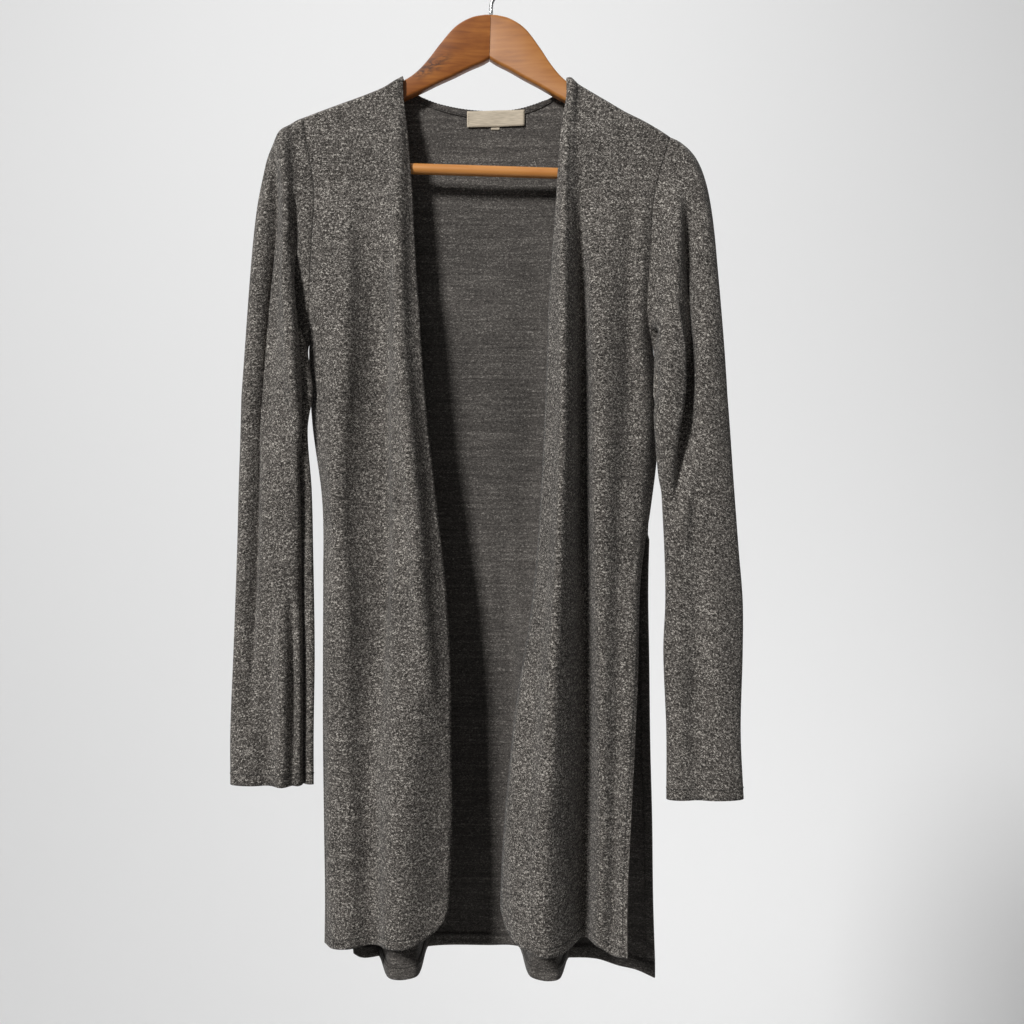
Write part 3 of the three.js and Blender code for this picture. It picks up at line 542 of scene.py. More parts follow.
def fold_panel(panel):
    x = unseen(panel.grid)
    z = panel.grid[..., 2]
    if panel.ring:
        facing = np.clip(-panel.normals[..., 1] * 2, -1, 1)
        height = np.maximum(facing, 0) * fold_height(SLEEVE_FOLDS[panel.name, "front"], x, z)
        height += np.maximum(-facing, 0) * fold_height(SLEEVE_FOLDS[panel.name, "back"], x, z)
    else:
        height = fold_height(FOLDS[panel.name], x, z)
    fade = fade_at_seams(panel, ARMHOLE_ROWS + SIDE_ROWS + OPEN_ROWS)
    panel.grid = panel.grid + panel.normals * (height * fade)[..., None]
    if not panel.ring:
        panel.grid[..., 1] -= fold_height(FOLDS[panel.name], x, z, "y") * fade
    panel.normals = grid_normals(panel.grid, panel.ring) * panel.flip


# Walls
class Panel:
    def __init__(self, name, grid, ring, flip):
        self.name = name
        self.grid = grid
        self.ring = ring
        self.flip = -1 if flip else 1
        self.normals = grid_normals(grid, ring) * self.flip


def grid_normals(grid, ring):
    up = np.concatenate([grid[:1], grid[:-1]])
    down = np.concatenate([grid[1:], grid[-1:]])
    if ring:
        left = np.roll(grid, 1, axis=1)
        right = np.roll(grid, -1, axis=1)
    else:
        left = np.concatenate([grid[:, :1], grid[:, :-1]], axis=1)
        right = np.concatenate([grid[:, 1:], grid[:, -1:]], axis=1)
    normal = np.cross(right - left, down - up)
    return normal / np.maximum(np.linalg.norm(normal, axis=-1, keepdims=True), 1e-9)


def weld(panels):
    """Gives every panel its mitred steps out and its pull back from the seams."""
    meeting = {}
    for panel in panels:
        for i, j in np.ndindex(panel.grid.shape[:2]):
            name = tuple(np.round(panel.grid[i, j], 2))
            meeting.setdefault(name, []).append(panel.normals[i, j])
    for panel in panels:
        panel.step = panel.normals.copy()
        panel.pull = np.zeros_like(panel.grid)
        rows, columns = panel.grid.shape[0] - 1, panel.grid.shape[1] - 1
        for i, j in np.ndindex(panel.grid.shape[:2]):
            if 0 < i < rows and (panel.ring or 0 < j < columns):
                continue
            normals = meeting[tuple(np.round(panel.grid[i, j], 2))]
            if len(normals) < 2:
                continue
            step = np.zeros(3)
            for _ in range(MITRE_ROUNDS):
                for normal in normals:
                    step += normal * (1 - normal @ step)
            panel.step[i, j] = step * min(1, MITRE_LIMIT / np.linalg.norm(step))
            panel.pull[i, j] = pull_back(panel, i, j, rows, columns)


def pull_back(panel, i, j, rows, columns):
    move = np.zeros(3)
    toward = []
    if i in (0, rows):
        toward.append((1 if i == 0 else rows - 1, j))
    if not panel.ring and j in (0, columns):
        toward.append((i, 1 if j == 0 else columns - 1))
    for place in toward:
        way = panel.grid[place] - panel.grid[i, j]
        move += way / np.linalg.norm(way) * SEAM_GAP / 2
    return move


def moved(panel, distance):
    return panel.grid + panel.step * distance + panel.pull


# Materials
def new_material(name, roughness, **others):
    material = bpy.data.materials.new(name)
    material.use_nodes = True
    tree = material.node_tree
    shader = tree.nodes["Principled BSDF"]
    fill(tree, shader, {"Roughness": roughness, **others})
    return material, tree, shader


def fill(tree, made, inputs):
    """Gives a node's inputs their values, or a link where another node's output is given."""
    for name, value in inputs.items():
        if isinstance(value, bpy.types.NodeSocket):
            tree.links.new(value, made.inputs[name])
        else:
            made.inputs[name].default_value = value


def node(tree, kind, inputs, **settings):
    made = tree.nodes.new(kind)
    for name, value in settings.items():
        setattr(made, name, value)
    fill(tree, made, inputs)
    return made


def ramp(tree, value, stops):
    """The colour of a value between stops of (place, colour)."""
    made = node(tree, "ShaderNodeValToRGB", {"Fac": value})
    elements = made.color_ramp.elements
    while len(elements) < len(stops):
        elements.new(0.5)
    for element, (place, colour) in zip(elements, stops):
        element.position = place
        element.color = (*colour, 1)
    return made.outputs["Color"]


def place_in_cloth(tree):
    """The place of a point in its own cloth or wood, which the cloth, label and wood meshes carry."""
    return node(tree, "ShaderNodeAttribute", {}, attribute_name="cloth").outputs["Vector"]


def noise(tree, where, scale, detail, by, bend=0.0, roughness=0.5):
    """A noise texture's value at a place that is first scaled along its three axes."""
    place = node(tree, "ShaderNodeMapping", {"Vector": where, "Scale": by}).outputs["Vector"]
    inputs = {"Vector": place, "Scale": scale, "Detail": detail, "Roughness": roughness, "Distortion": bend}
    return node(tree, "ShaderNodeTexNoise", inputs).outputs["Fac"]


def blend(tree, first, second, share):
    """A mix of two values."""
    inputs = {"Factor": share, "A": first, "B": second}
    return node(tree, "ShaderNodeMix", inputs, data_type="FLOAT").outputs["Result"]


def remap(tree, value, limits):
    """A value moved from one pair of limits to another."""
    names = ("From Min", "From Max", "To Min", "To Max")
    return node(tree, "ShaderNodeMapRange", {"Value": value, **dict(zip(names, limits))}).outputs["Result"]


def raised(tree, height, strength, distance):
    """The surface's direction over small heights."""
    inputs = {"Strength": strength, "Distance": distance, "Height": height}
    return node(tree, "ShaderNodeBump", inputs).outputs["Normal"]


KNIT_SHINE = {"Specular IOR Level": 0.1, "Sheen Weight": 0.08, "Sheen Roughness": 0.6}
KNIT_NOISE_ROUGHNESS = 0.55


def knit_material(name, tones, streak_share, stretch, bump):
    """Heathered knit: curly pale and dark yarns, level streaks, and a soft uneven tone."""
    material, tree, shader = new_material(name, 0.95, **KNIT_SHINE)
    cloth = place_in_cloth(tree)
    yarn = noise(tree, cloth, 600, 1.2, (1, stretch, 1), 1.2, KNIT_NOISE_ROUGHNESS)
    streak = noise(tree, cloth, 90, 3, (0.22, 4.5, 1), 0.0, KNIT_NOISE_ROUGHNESS)
    tone = noise(tree, cloth, 7, 3, (1, 2.0, 1), 0.0, KNIT_NOISE_ROUGHNESS)
    colour = ramp(tree, blend(tree, yarn, streak, streak_share), tones)
    shade = remap(tree, tone, (0.3, 0.7, 0.84, 1.14))
    inputs = {"Factor": 1.0, "A": colour, "B": shade}
    toned = node(tree, "ShaderNodeMix", inputs, data_type="RGBA", blend_type="MULTIPLY")
    normal = raised(tree, yarn, bump, 0.0012)
    fill(tree, shader, {"Base Color": toned.outputs["Result"], "Normal": normal})
    return material


OUTSIDE = knit_material(
    "knit_outside",
    [(0.34, (0.014, 0.013, 0.011)), (0.46, (0.052, 0.046, 0.041)), (0.56, (0.13, 0.117, 0.105)),
     (0.66, (0.46, 0.43, 0.385))],
    0.12, 1.25, 0.6,
)
INSIDE = knit_material(
    "knit_inside",
    [(0.34, (0.029, 0.026, 0.024)), (0.47, (0.062, 0.056, 0.051)), (0.57, (0.103, 0.094, 0.085)),
     (0.69, (0.28, 0.26, 0.235))],
    0.27, 1.5, 0.35,
)


def plain_cloth(name, colour, grain, strength):
    """Woven tape: fine level ribs."""
    material, tree, shader = new_material(name, 0.85)
    threads = noise(tree, place_in_cloth(tree), 300, 2, grain)
    light = tuple(min(1, c * 1.12) for c in colour)
    dark = tuple(c * 0.78 for c in colour)
    colour = ramp(tree, threads, [(0.3, dark), (0.7, light)])
    fill(tree, shader, {"Base Color": colour, "Normal": raised(tree, threads, strength, 0.0004)})
    return material


# The knot in the right arm's wood: its place, slope and half sizes, in metres along the grain
KNOT_PLACE = (0.96, -0.004, -0.1165)
KNOT_SLOPE = 0.54
KNOT_SIZE = (0.027, 0.05, 0.008)
VARNISH = {"Coat Weight": 0.1, "Coat Roughness": 0.25}


def wood_material(name, dark, mid, light, knot=None):
    """Clear-varnished wood with its grain along the piece, and a knot where its colour is given."""
    material, tree, shader = new_material(name, 0.42, **VARNISH)
    grain = place_in_cloth(tree)
    fibre = noise(tree, grain, 260, 4, (0.07, 1, 1), 0.6)
    cloud = noise(tree, grain, 28, 4, (0.35, 1, 1), 1.0)
    colour = ramp(tree, blend(tree, fibre, cloud, 0.55), [(0.3, dark), (0.47, mid), (0.66, light)])
    if knot:
        colour = with_knot(tree, grain, colour, knot)
    fill(tree, shader, {"Base Color": colour})
    return material


def with_knot(tree, grain, colour, knot):
    """The wood's colour with a patchy dark knot over it."""
    inputs = {"Vector": grain, "Location": KNOT_PLACE, "Rotation": (0, KNOT_SLOPE, 0), "Scale": KNOT_SIZE}
    place = node(tree, "ShaderNodeMapping", inputs, vector_type="TEXTURE").outputs["Vector"]
    away = node(tree, "ShaderNodeVectorMath", {0: place}, operation="LENGTH").outputs["Value"]
    near = remap(tree, away, (0.35, 1.1, 1, 0))
    patchy = remap(tree, noise(tree, grain, 130, 4, (0.35, 1, 1), 2.5), (0.42, 0.6, 0, 0.9))
    amount = node(tree, "ShaderNodeMath", {0: near, 1: patchy}, operation="MULTIPLY").outputs["Value"]
    inputs = {"Factor": amount, "A": colour, "B": (*knot, 1)}
    return node(tree, "ShaderNodeMix", inputs, data_type="RGBA").outputs["Result"]


THREAD = plain_cloth("thread", (0.024, 0.022, 0.019), (1, 1, 1), 0.2)
LABEL = plain_cloth("label_tape", (0.5, 0.43, 0.33), (0.4, 5, 1), 0.5)
WOOD_RIGHT = wood_material(
    "wood_right", (0.14, 0.036, 0.003), (0.23, 0.066, 0.006), (0.34, 0.115, 0.016), (0.045, 0.012, 0.003),
)
WOOD_LEFT = wood_material("wood_left", (0.27, 0.095, 0.016), (0.36, 0.135, 0.024), (0.43, 0.18, 0.04))
WOOD_BAR = wood_material("wood_bar", (0.38, 0.14, 0.028), (0.47, 0.185, 0.04), (0.55, 0.24, 0.06))
STEEL = new_material("steel", 0.25, **{"Metallic": 1.0, "Base Color": (0.6, 0.6, 0.6, 1)})[0]


# Meshes
def mesh_object(name, points, faces, materials, face_material=None, cloth=None):
    mesh = bpy.data.meshes.new(name)
    mesh.from_pydata([tuple(p) for p in np.asarray(points) * MM], [], faces)
    for material in materials:
        mesh.materials.append(material)
    if face_material is not None:
        mesh.polygons.foreach_set("material_index", face_material)
    mesh.polygons.foreach_set("use_smooth", [True] * len(mesh.polygons))
    if cloth is not None:
        layer = mesh.attributes.new("cloth", "FLOAT_VECTOR", "POINT")
        layer.data.foreach_set("vector", (np.asarray(cloth) * MM).ravel())
    made = bpy.data.objects.new(name, mesh)
    bpy.context.scene.collection.objects.link(made)
    return made


def facing_out(points, faces):
    volume = 0.0
    p = np.asarray(points)
    for face in faces:
        for k in range(1, len(face) - 1):
            volume += p[face[0]] @ np.cross(p[face[k]], p[face[k + 1]])
    return faces if volume > 0 else [tuple(reversed(face)) for face in faces]


def wall_faces(rows, columns, ring):
    """Quads of a closed wall and their kinds, where only the inner skin's kind is 1."""
    size = rows * columns

    def at(side, i, j):
        return side * size + i * columns + (j % columns if ring else j)

    spans = columns if ring else columns - 1
    faces, kinds = [], []
    for i in range(rows - 1):
        for j in range(spans):
            faces.append((at(0, i, j), at(0, i, j + 1), at(0, i + 1, j + 1), at(0, i + 1, j)))
            faces.append((at(1, i, j), at(1, i + 1, j), at(1, i + 1, j + 1), at(1, i, j + 1)))
            kinds += [0, 1]
    end = rows - 1
    for j in range(spans):
        faces.append((at(1, 0, j), at(1, 0, j + 1), at(0, 0, j + 1), at(0, 0, j)))
        faces.append((at(0, end, j), at(0, end, j + 1), at(1, end, j + 1), at(1, end, j)))
        kinds += [0, 0]
    end = columns - 1
    if not ring:
        for i in range(rows - 1):
            faces.append((at(1, i, 0), at(0, i, 0), at(0, i + 1, 0), at(1, i + 1, 0)))
            faces.append((at(0, i, end), at(1, i, end), at(1, i + 1, end), at(0, i + 1, end)))
            kinds += [0, 0]
    return faces, kinds


def cloth_coordinates(grid, offset, turn):
    """Place of each point in the knit, in millimetres, turned by an angle to lie along the rows."""
    x, y, z = np.moveaxis(grid, -1, 0)
    cos, sin = math.cos(turn), math.sin(turn)
    return np.stack([x * cos - z * sin + offset, x * sin + z * cos, y], -1)


INSIDE_KNIT_SHIFT = 40


def cloth_wall(name, outer, inner, ring, materials, coordinates):
    rows, columns = outer.shape[:2]
    points = np.concatenate([outer.reshape(-1, 3), inner.reshape(-1, 3)])
    faces, kinds = wall_faces(rows, columns, ring)
    flat = coordinates.reshape(-1, 3)
    cloth = np.concatenate([flat, flat + [0, 0, INSIDE_KNIT_SHIFT]])
    if len(materials) == 1:
        kinds = None
    return mesh_object(name, points, facing_out(points, faces), materials, kinds, cloth)


# The cardigan's panels
def build_panels():
    right = front_grid(RIGHT_FRONT, RIGHT_SHOULDER, RIGHT_FRONT_SUB)
    left = front_grid(LEFT_FRONT, LEFT_SHOULDER, LEFT_FRONT_SUB)
    back = back_grid(right, left)
    last = back.shape[1] - 1
    right_sleeve = sleeve_grid(RIGHT_SLEEVE, armhole_of(right, back, 0))
    left_sleeve = sleeve_grid(LEFT_SLEEVE, armhole_of(left, back, last))
    panels = {
        "right_front": Panel("right_front", right, False, True),
        "left_front": Panel("left_front", left, False, False),
        "back": Panel("back", back, False, False),
        "right_sleeve": Panel("right_sleeve", right_sleeve, True, True),
        "left_sleeve": Panel("left_sleeve", left_sleeve, True, False),
    }
    for panel in panels.values():
        fold_panel(panel)
    weld(panels.values())
    return panels


# Each panel's cut in metres, its area in square metres, the turn of its knit and what it hangs on
CLOTH = {
    "right_front": ((0.18, 0.86), 0.126, 0.0, ["hanger_right_arm"]),
    "left_front": ((0.212, 0.862), 0.144, 0.0, ["hanger_left_arm"]),
    "back": ((0.5, 0.91), 0.326, 0.0, ["hanger_right_arm", "hanger_left_arm"]),
    "right_sleeve": ((0.3, 0.675), 0.122, -0.25, ["hanger_right_arm"]),
    "left_sleeve": ((0.29, 0.67), 0.117, 0.5, ["hanger_left_arm"]),
}
KNIT_SHIFT = 700
STRIP_KNIT_SHIFT = 5000

# Rows and columns of the band inside the back neck
NECK_FROM = 5 * RIGHT_FRONT_SUB
BAND_ROWS = 8
SLIT_TURN_COLUMNS = 4

# The label and its tab: left and right side, top, height and rise to the right
LABEL_BOX = (-24, 33.5, -155, 16, 1.6)
TAB_BOX = (0, 8.5, -164, 9, 0)
LABEL_OFFSET = WALL / 2 + LAY_GAP + STRIP_WALL + LAY_GAP + 0.4
TAB_OFFSET = WALL / 2 + LAY_GAP + 0.1
LABEL_WAVE = 0.25
LABEL_COLUMNS = 24
LABEL_ROWS = 8


def make_cloth(panels):
    for number, (name, panel) in enumerate(panels.items()):
        flat, area, turn, arms = CLOTH[name]
        piece = cloth_wall(
            name + "_cloth", moved(panel, WALL / 2), moved(panel, -WALL / 2), panel.ring,
            [OUTSIDE, INSIDE], cloth_coordinates(panel.grid, number * KNIT_SHIFT, turn),
        )
        own(piece, name)


def make_strips(back):
    last = back.grid.shape[1] - 1
    slit = (ARMHOLE_ROWS + SIDE_ROWS + 4, ROWS - HEM_ROWS - 1)
    band = (NECK_FROM + 3, NECK_FROM + NECK_COLUMNS - 3)
    return [
        strip_on_back("hem_turn", "back_hem_turn", back, (ROWS - HEM_ROWS, ROWS), (0, last)),
        strip_on_back("right_turn", "right_slit_turn", back, slit, (0, SLIT_TURN_COLUMNS)),
        strip_on_back("left_turn", "left_slit_turn", back, slit, (last - SLIT_TURN_COLUMNS, last)),
        strip_on_back("neck_band", "back_neck_band", back, (0, BAND_ROWS), band),
        label_piece("label_tape", "neck_label", LABEL_BOX, LABEL_OFFSET, LABEL_WAVE),
        label_piece("size_tape", "size_tab", TAB_BOX, TAB_OFFSET, 0),
    ] + label_stitches()


# Strips and labels on the inside of the back
def strip_on_back(name, node_name, back, rows, columns):
    near = -(WALL / 2 + LAY_GAP)
    cut = (slice(rows[0], rows[1] + 1), slice(columns[0], columns[1] + 1))
    outer = moved(back, near)[cut]
    inner = moved(back, near - STRIP_WALL)[cut]
    across = cloth_coordinates(back.grid, STRIP_KNIT_SHIFT, 0.0)[cut]
    strip = cloth_wall(name, outer, inner, False, [INSIDE], across)
    return own(strip, node_name)


def own(piece, node_name):
    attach(piece, "root")
    if node_name:
        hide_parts(node_name)
    return piece


def back_y(x, z):
    """Depth of the back's middle surface at points given by x as seen and z."""
    columns_x, columns_y = table_columns(BACK, z)
    return along_rows(columns_x, columns_y, x) - roll_forward(x, z)


def label_piece(name, node_name, box, offset, wave):
    left, right, top, height, rise = box
    share = np.arange(LABEL_COLUMNS + 1) / LABEL_COLUMNS
    x = mix(left, right, share)
    grids = []
    for extra in (LABEL_WALL, 0):
        grid = []
        for i in range(LABEL_ROWS + 1):
            z = top - height * i / LABEL_ROWS + rise * share
            ripple = wave * np.sin(share * 9 + i * 0.4)
            grid.append(seen(x, back_y(x, z) - offset - extra + ripple, z))
        grids.append(np.array(grid))
    cloth = cloth_coordinates(grids[0], 0, 0.0)
    piece = cloth_wall(name, grids[0], grids[1], False, [LABEL], cloth)
    return own(piece, node_name)


# Stitches: the length, gap and thickness of each kind, the same form for all of them
STITCH = (2.4, 0.7, 0.5)
BAND_STITCH = (2.4, 0.7, 0.35)
LABEL_STITCH = (1.5, 0.9, 0.3)
STITCH_START = 0.4
STITCH_PLACES = np.array([0.0, 0.25, 0.75, 1.0])
STITCH_LIFTS = np.array([-0.1, 0.3, 0.3, -0.1])
STITCH_WIDTHS = np.array([0.5, 1, 1, 0.5])
STITCH_FLATNESS = 0.7
STITCH_SIDES = 6

# How far rows of stitches lie from an edge, and where those on the hem's turn lie inside
FRONT_HEM_INSET = 9
FRONT_SLIT_INSET = 5
BACK_HEM_INSET = HEM_DEPTH - 1.6
BACK_SLIT_INSET = 6.5
CUFF_INSET = 11
ON_STRIP = -(WALL / 2 + LAY_GAP + STRIP_WALL)
ON_HEM_TURN = ON_STRIP - 0.1


def label_stitches():
    """A short row of stitches down each end of the label."""
    rows = []
    count = 8
    for x, word, rise in ((-22.6, "right", 0.1), (32.1, "left", 1.5)):
        z = np.linspace(-156.5, -169.5, count) + rise
        y = back_y(np.full(count, x), z) - LABEL_OFFSET - LABEL_WALL - 0.15
        points = seen(np.full(count, x), y, z)
        normals = np.tile((0.0, -1.0, 0.0), (count, 1))
        name = "label_stitches_" + word
        rows.append(stitch_row(name, points, normals, LABEL, LABEL_STITCH))
    return rows


def stitch_row(name, points, normals, material, sizes=STITCH):
    """Short thread humps along a row of points."""
    length, gap, thick = sizes
    steps = np.linalg.norm(np.diff(points, axis=0), axis=1)
    run = np.concatenate([[0], np.cumsum(steps)])
    corners, faces = [], []

    def at(values, where):
        return np.stack([np.interp(where, run, values[:, k]) for k in range(3)], -1)

    for start in np.arange(STITCH_START, run[-1] - length, length + gap):
        places = start + length * STITCH_PLACES
        path = at(points, places)
        up = at(normals, places)
        up /= np.linalg.norm(up, axis=1, keepdims=True)
        way = (path[-1] - path[0]) / np.linalg.norm(path[-1] - path[0])
        side = np.cross(way, up)
        lift = STITCH_LIFTS[:, None] * thick * up
        base = len(corners)
        for k, width in enumerate(STITCH_WIDTHS):
            for turn in range(STITCH_SIDES):
                angle = turn / STITCH_SIDES * 2 * math.pi
                out = math.cos(angle) * side[k] + STITCH_FLATNESS * math.sin(angle) * up[k]
                corners.append(path[k] + lift[k] + out * thick * width)
        faces += side_faces(base, len(STITCH_WIDTHS), STITCH_SIDES)
        last = base + (len(STITCH_WIDTHS) - 1) * STITCH_SIDES
        faces.append(tuple(base + t for t in reversed(range(STITCH_SIDES))))
        faces.append(tuple(last + t for t in range(STITCH_SIDES)))
    piece = mesh_object(name, corners, faces, [material])
    return own(piece, None)


def side_faces(first, rings, around):
    """Quads between rings of points that are numbered from the first one."""
    faces = []
    for start in range(first, first + (rings - 1) * around, around):
        for k in range(around):
            a, b = start + k, start + (k + 1) % around
            faces.append((a, b, b + around, a + around))
    return faces


def point_inside(skin, i, j, way, depth):
    """The point at a depth along a skin from one of its points, by rows or by columns."""
    gone = 0.0
    while True:
        start, end = skin[i, j], skin[i + way[0], j + way[1]]
        step = np.linalg.norm(end - start)
        if gone + step >= depth:
            return mix(start, end, (depth - gone) / step)
        gone += step
        i, j = i + way[0], j + way[1]


def inset_line(panel, out, depth):
    """A line some depth above a panel's bottom edge, and out from its middle surface."""
    skin = moved(panel, out)
    bottom = skin.shape[0] - 1
    points = [point_inside(skin, bottom, j, (-1, 0), depth) for j in range(skin.shape[1])]
    return np.array(points), panel.normals[bottom] * np.sign(out)


def edge_line(panel, column, depth, rows):
    """A line on a panel's outer skin that runs beside one of its side edges."""
    skin = moved(panel, WALL / 2)
    way = (0, 1 if column == 0 else -1)
    points = [point_inside(skin, i, column, way, depth) for i in rows]
    return np.array(points), panel.normals[list(rows), column]


def make_stitches(panels):
    """Rows of stitches of each panel, by the panel's name."""
    rows = {name: [] for name in panels}

    def add(owner, name, points, normals, sizes=STITCH):
        rows[owner].append(stitch_row(name, points, normals, THREAD, sizes))

    back = panels["back"]
    last = back.grid.shape[1] - 1
    for out, word in ((WALL / 2, "out"), (ON_HEM_TURN, "in")):
        points, normals = inset_line(back, out, BACK_HEM_INSET)
        add("back", "back_hem_stitches_" + word, points[3:-3], normals[3:-3])
    slit_top = ARMHOLE_ROWS + SIDE_ROWS + 3
    for name in ("right_front", "left_front"):
        points, normals = inset_line(panels[name], WALL / 2, FRONT_HEM_INSET)
        add(name, name + "_hem_stitches", points[3:-6], normals[3:-6])
        points, normals = edge_line(panels[name], 0, FRONT_SLIT_INSET, range(slit_top, ROWS - 3))
        add(name, name + "_slit_stitches", points, normals)
    for column, word in ((0, "right"), (last, "left")):
        points, normals = edge_line(back, column, BACK_SLIT_INSET, range(slit_top, ROWS - 4))
        add("back", "back_" + word + "_slit_stitches", points, normals)
    for name in ("right_sleeve", "left_sleeve"):
        points, normals = inset_line(panels[name], WALL / 2, CUFF_INSET)
        closed = [*range(len(points)), 0]
        add(name, name + "_cuff_stitches", points[closed], normals[closed])
    band = slice(NECK_FROM + 3, NECK_FROM + NECK_COLUMNS - 3)
    skin = moved(back, ON_STRIP)
    for row, word in ((2, "upper"), (BAND_ROWS - 1, "lower")):
        add("back", "neck_band_stitches_" + word, skin[row, band], -back.normals[row, band], BAND_STITCH)
    return rows


# The hanger
def hanger_point(x, y, z):
    """A point of the tilted hanger, from its own frame to the garment's."""
    cos, sin = math.cos(TILT), math.sin(TILT)
    return (x * cos + z * sin, y, -x * sin + z * cos + WOOD_TOP_Z)


ARM_X = [0, 6, 20, 35, 50, 60, 70, 80, 100, 120, 140, 160, 176, 184, 184.2, 192, 197, 198.5]
ARM_TOP = [0, -0.4, -4.3, -14.5, -33.5, -48, -60, -68.4, -79.6, -91.4, -102.8, -113.4, -122.8,
           -128.6, -128.8, -136, -145, -152]
ARM_BOTTOM = [-44.5, -48.5, -55.5, -64, -71.8, -77.5, -83, -88.2, -98.5, -110, -121.5, -133, -142,
              -147, -169, -169, -166, -160]
ARM_SMOOTH_TO = 183
ARM_SMOOTH_POINTS = 14
ARM_STATIONS = 93
ARM_HALF = 6
ARM_EDGE = 3.4
MITRE_GAP = 0.3
BAR_RADIUS = 5.35
BAR_Z = -159.7
BAR_Y = -16
BAR_HALF_LENGTH = 183.8
BAR_STEPS = 80
BAR_AROUND = 32
HOOK_WIRE = 1.9
HOOK_LOOP = 19.5
HOOK_TURN = (205, -55)
HOOK_BEND = [(3.2, 0, -44), (0, 0, -50)]
HOOK_LOOP_POINTS = 70
HOOK_AROUND = 20

# Edges sharper than this stay sharp, and each piece has its own stretch of grain
WOOD_CREASE = math.radians(50)
RIGHT_GRAIN_X = 900
BAR_GRAIN_X = 2000


def arm_section(top, bottom):
    """Rounded outline of the wood across the arm, as (y, z)."""
    out = []
    for corner_y, corner_z, start in ((-1, 1, 180), (1, 1, 90), (1, -1, 0), (-1, -1, -90)):
        centre = (corner_y * (ARM_HALF - ARM_EDGE), (top if corner_z > 0 else bottom) - corner_z * ARM_EDGE)
        for k in range(6):
            angle = math.radians(start - 90 * k / 5)
            out.append((centre[0] + ARM_EDGE * math.cos(angle), centre[1] + ARM_EDGE * math.sin(angle)))
    return out


def arm_edge(heights, x):
    """Height of an arm's edge: a smooth curve as far as the cut, then straight steps."""
    if x > ARM_SMOOTH_TO:
        return float(np.interp(x, ARM_X, heights))
    return float(along(ARM_X[:ARM_SMOOTH_POINTS], heights[:ARM_SMOOTH_POINTS], x))


def tube(name, rings, material, grain=None):
    """A solid through rings of points, closed by a flat face at each end."""
    around = len(rings[0])
    points = [point for ring in rings for point in ring]
    last = len(points) - around
    faces = side_faces(0, len(rings), around)
    faces.append(tuple(range(around)))
    faces.append(tuple(last + k for k in reversed(range(around))))
    return mesh_object(name, points, facing_out(points, faces), [material], None, grain)


def make_arm(name, node_name, side, material):
    rings = []
    for x in np.unique(np.concatenate([np.linspace(0, 184, ARM_STATIONS), ARM_X])):
        place = side * (x + MITRE_GAP / 2)
        outline = arm_section(arm_edge(ARM_TOP, x), arm_edge(ARM_BOTTOM, x))
        rings.append([hanger_point(place, -x * SWEEP + y, z) for y, z in outline])
    shift = 0 if side > 0 else RIGHT_GRAIN_X
    grain = [(side * x + shift, y, z) for ring in rings for x, y, z in ring]
    piece = tube(name, rings, material, grain)
    piece.data.set_sharp_from_angle(angle=WOOD_CREASE)
    return own(piece, node_name)


def circle(around):
    """Cosines and sines of so many even steps round a circle."""
    angles = [2 * math.pi * k / around for k in range(around)]
    return [(math.cos(angle), math.sin(angle)) for angle in angles]


def make_bar():
    rings, grain = [], []
    for i in range(BAR_STEPS + 1):
        x = mix(-BAR_HALF_LENGTH, BAR_HALF_LENGTH, i / BAR_STEPS)
        outline = [(BAR_Y + BAR_RADIUS * cos, BAR_Z + BAR_RADIUS * sin) for cos, sin in circle(BAR_AROUND)]
        rings.append([hanger_point(x, y, z) for y, z in outline])
        grain += [(x + BAR_GRAIN_X, y, z) for y, z in outline]
    piece = tube("bar_wood", rings, WOOD_BAR, grain)
    piece.data.set_sharp_from_angle(angle=WOOD_CREASE)
    return own(piece, "hanger_bar")


def hook_path():
    """Points along the wire: a loop from its tip, a bend, and a shank down into the wood."""
    radius = HOOK_LOOP + HOOK_WIRE
    path = []
    for degrees in np.linspace(*HOOK_TURN, HOOK_LOOP_POINTS):
        angle = math.radians(degrees)
        path.append((radius * math.cos(angle), 0, -HOOK_LOOP + radius * math.sin(angle)))
    bend = [path[-1], *HOOK_BEND, (0, 0, WOOD_TOP_Z + LAY_GAP)]
    for a, b in zip(bend[:-1], bend[1:]):
        path += [tuple(mix(np.array(a), np.array(b), t)) for t in (0.25, 0.5, 0.75, 1)]
    path = np.array(path)
    first = HOOK_LOOP_POINTS + 1
    for _ in range(3):
        path[first:-2] = (path[first - 1:-3] + 2 * path[first:-2] + path[first + 1:-1]) / 4
    return path


def make_hook():
    path = hook_path()
    across = np.array([0, 1, 0])
    rings = []
    for i, point in enumerate(path):
        way = path[min(i + 1, len(path) - 1)] - path[max(i - 1, 0)]
        way /= np.linalg.norm(way)
        flat = np.cross(way, across)
        rings.append([point + HOOK_WIRE * (cos * flat + sin * across) for cos, sin in circle(HOOK_AROUND)])
    return own(tube("hook_wire", rings, STEEL), "hanger_hook")


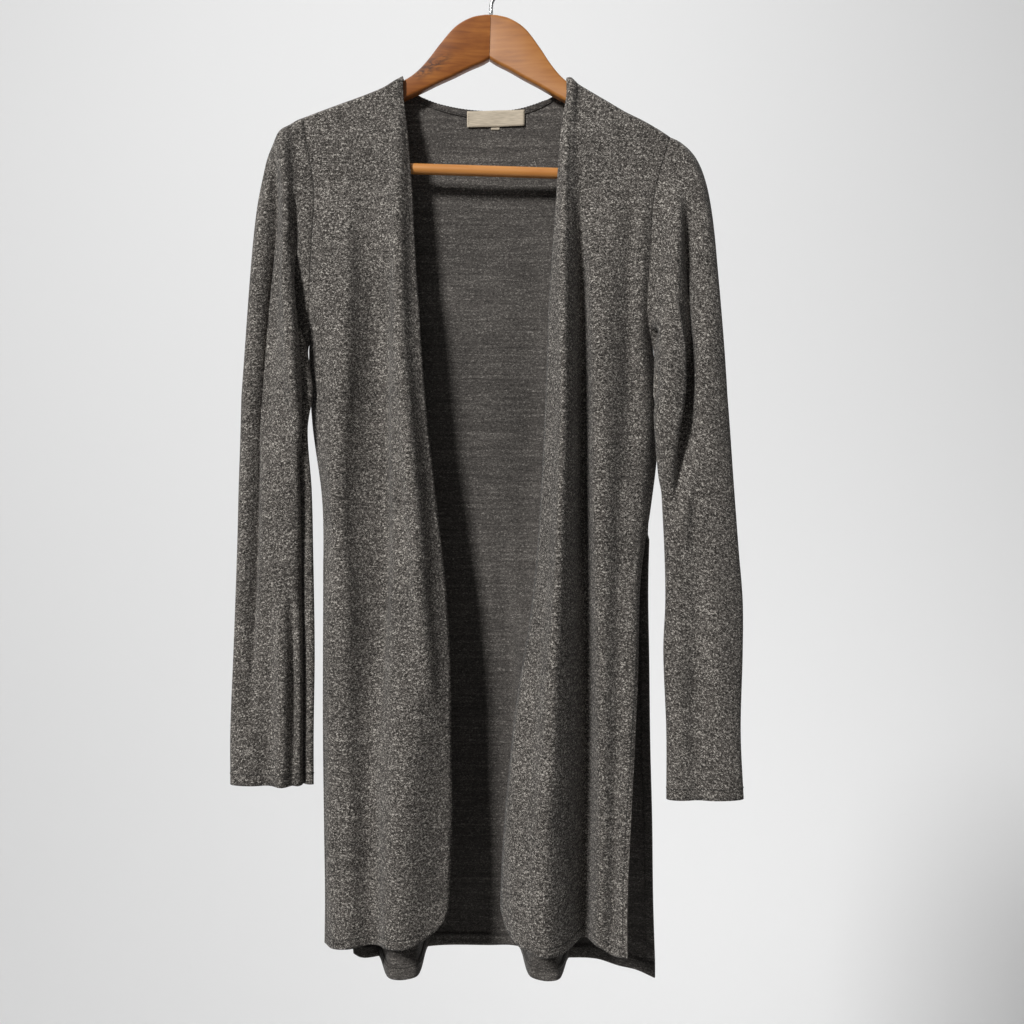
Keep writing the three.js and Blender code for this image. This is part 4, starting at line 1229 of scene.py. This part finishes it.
# Stage and lights, in metres and watts: planes by size, place and turn, lights by place, target and size
STAGE = [("floor", 5, (0, 1.6, -2.6), (0, 0, 0)), ("backdrop", 9, (0, 3.0, 0), (math.pi / 2, 0, 0))]
STAGE_GREY = (0.8, 0.8, 0.8, 1)
LIGHTS = [
    ("key", (-2.6, -4.1, 2.05), (0, 0, -0.55), 0.9, 330),
    ("wall_light", (0, 0.8, 1.7), (0, 3, -1.7), 2.4, 24),
    ("low_wall_light", (0.9, 0.9, -2.0), (0.9, 3, -0.9), 1.6, 17),
]
WORLD_LIGHT = 0.18


def make_stage():
    pale = new_material("stage_pale", 0.9, **{"Base Color": STAGE_GREY})[0]
    for name, size, place, turn in STAGE:
        bpy.ops.mesh.primitive_plane_add(size=size, location=place, rotation=turn)
        plane = bpy.context.object
        plane.name = name
        plane.data.materials.append(pale)


def make_camera():
    data = bpy.data.cameras.new("camera")
    data.sensor_width = SENSOR_WIDTH
    data.lens = SENSOR_WIDTH * VIEW_DISTANCE / FRAME_WIDTH
    camera = bpy.data.objects.new("camera", data)
    camera.location = (VIEW_X * MM, -VIEW_DISTANCE * MM, CAMERA_Z * MM)
    camera.rotation_euler = (math.pi / 2, 0, 0)
    bpy.context.scene.collection.objects.link(camera)
    bpy.context.scene.camera = camera


def area_light(name, place, target, size, power):
    data = bpy.data.lights.new(name, "AREA")
    data.size = size
    data.energy = power
    lamp = bpy.data.objects.new(name, data)
    lamp.location = place
    way = np.array(target, float) - np.array(place, float)
    turn = math.atan2(way[0], -way[1])
    fall = math.atan2(math.hypot(way[0], way[1]), -way[2])
    lamp.rotation_euler = (fall, 0, turn + math.pi)
    bpy.context.scene.collection.objects.link(lamp)


def make_lights():
    world = bpy.data.worlds.new("studio")
    world.use_nodes = True
    background = world.node_tree.nodes["Background"]
    fill(world.node_tree, background, {"Color": (1, 1, 1, 1), "Strength": WORLD_LIGHT})
    bpy.context.scene.world = world
    for light in LIGHTS:
        area_light(*light)
    bpy.context.scene.view_settings.view_transform = "Standard"


make_camera()
make_stage()
make_lights()
PANELS = build_panels()
PIECES = make_stitches(PANELS)
PIECES["back"] += make_strips(PANELS["back"])
make_cloth(PANELS)
make_arm("right_arm_wood", "hanger_right_arm", -1, WOOD_RIGHT)
make_arm("left_arm_wood", "hanger_left_arm", 1, WOOD_LEFT)
make_bar()
make_hook()
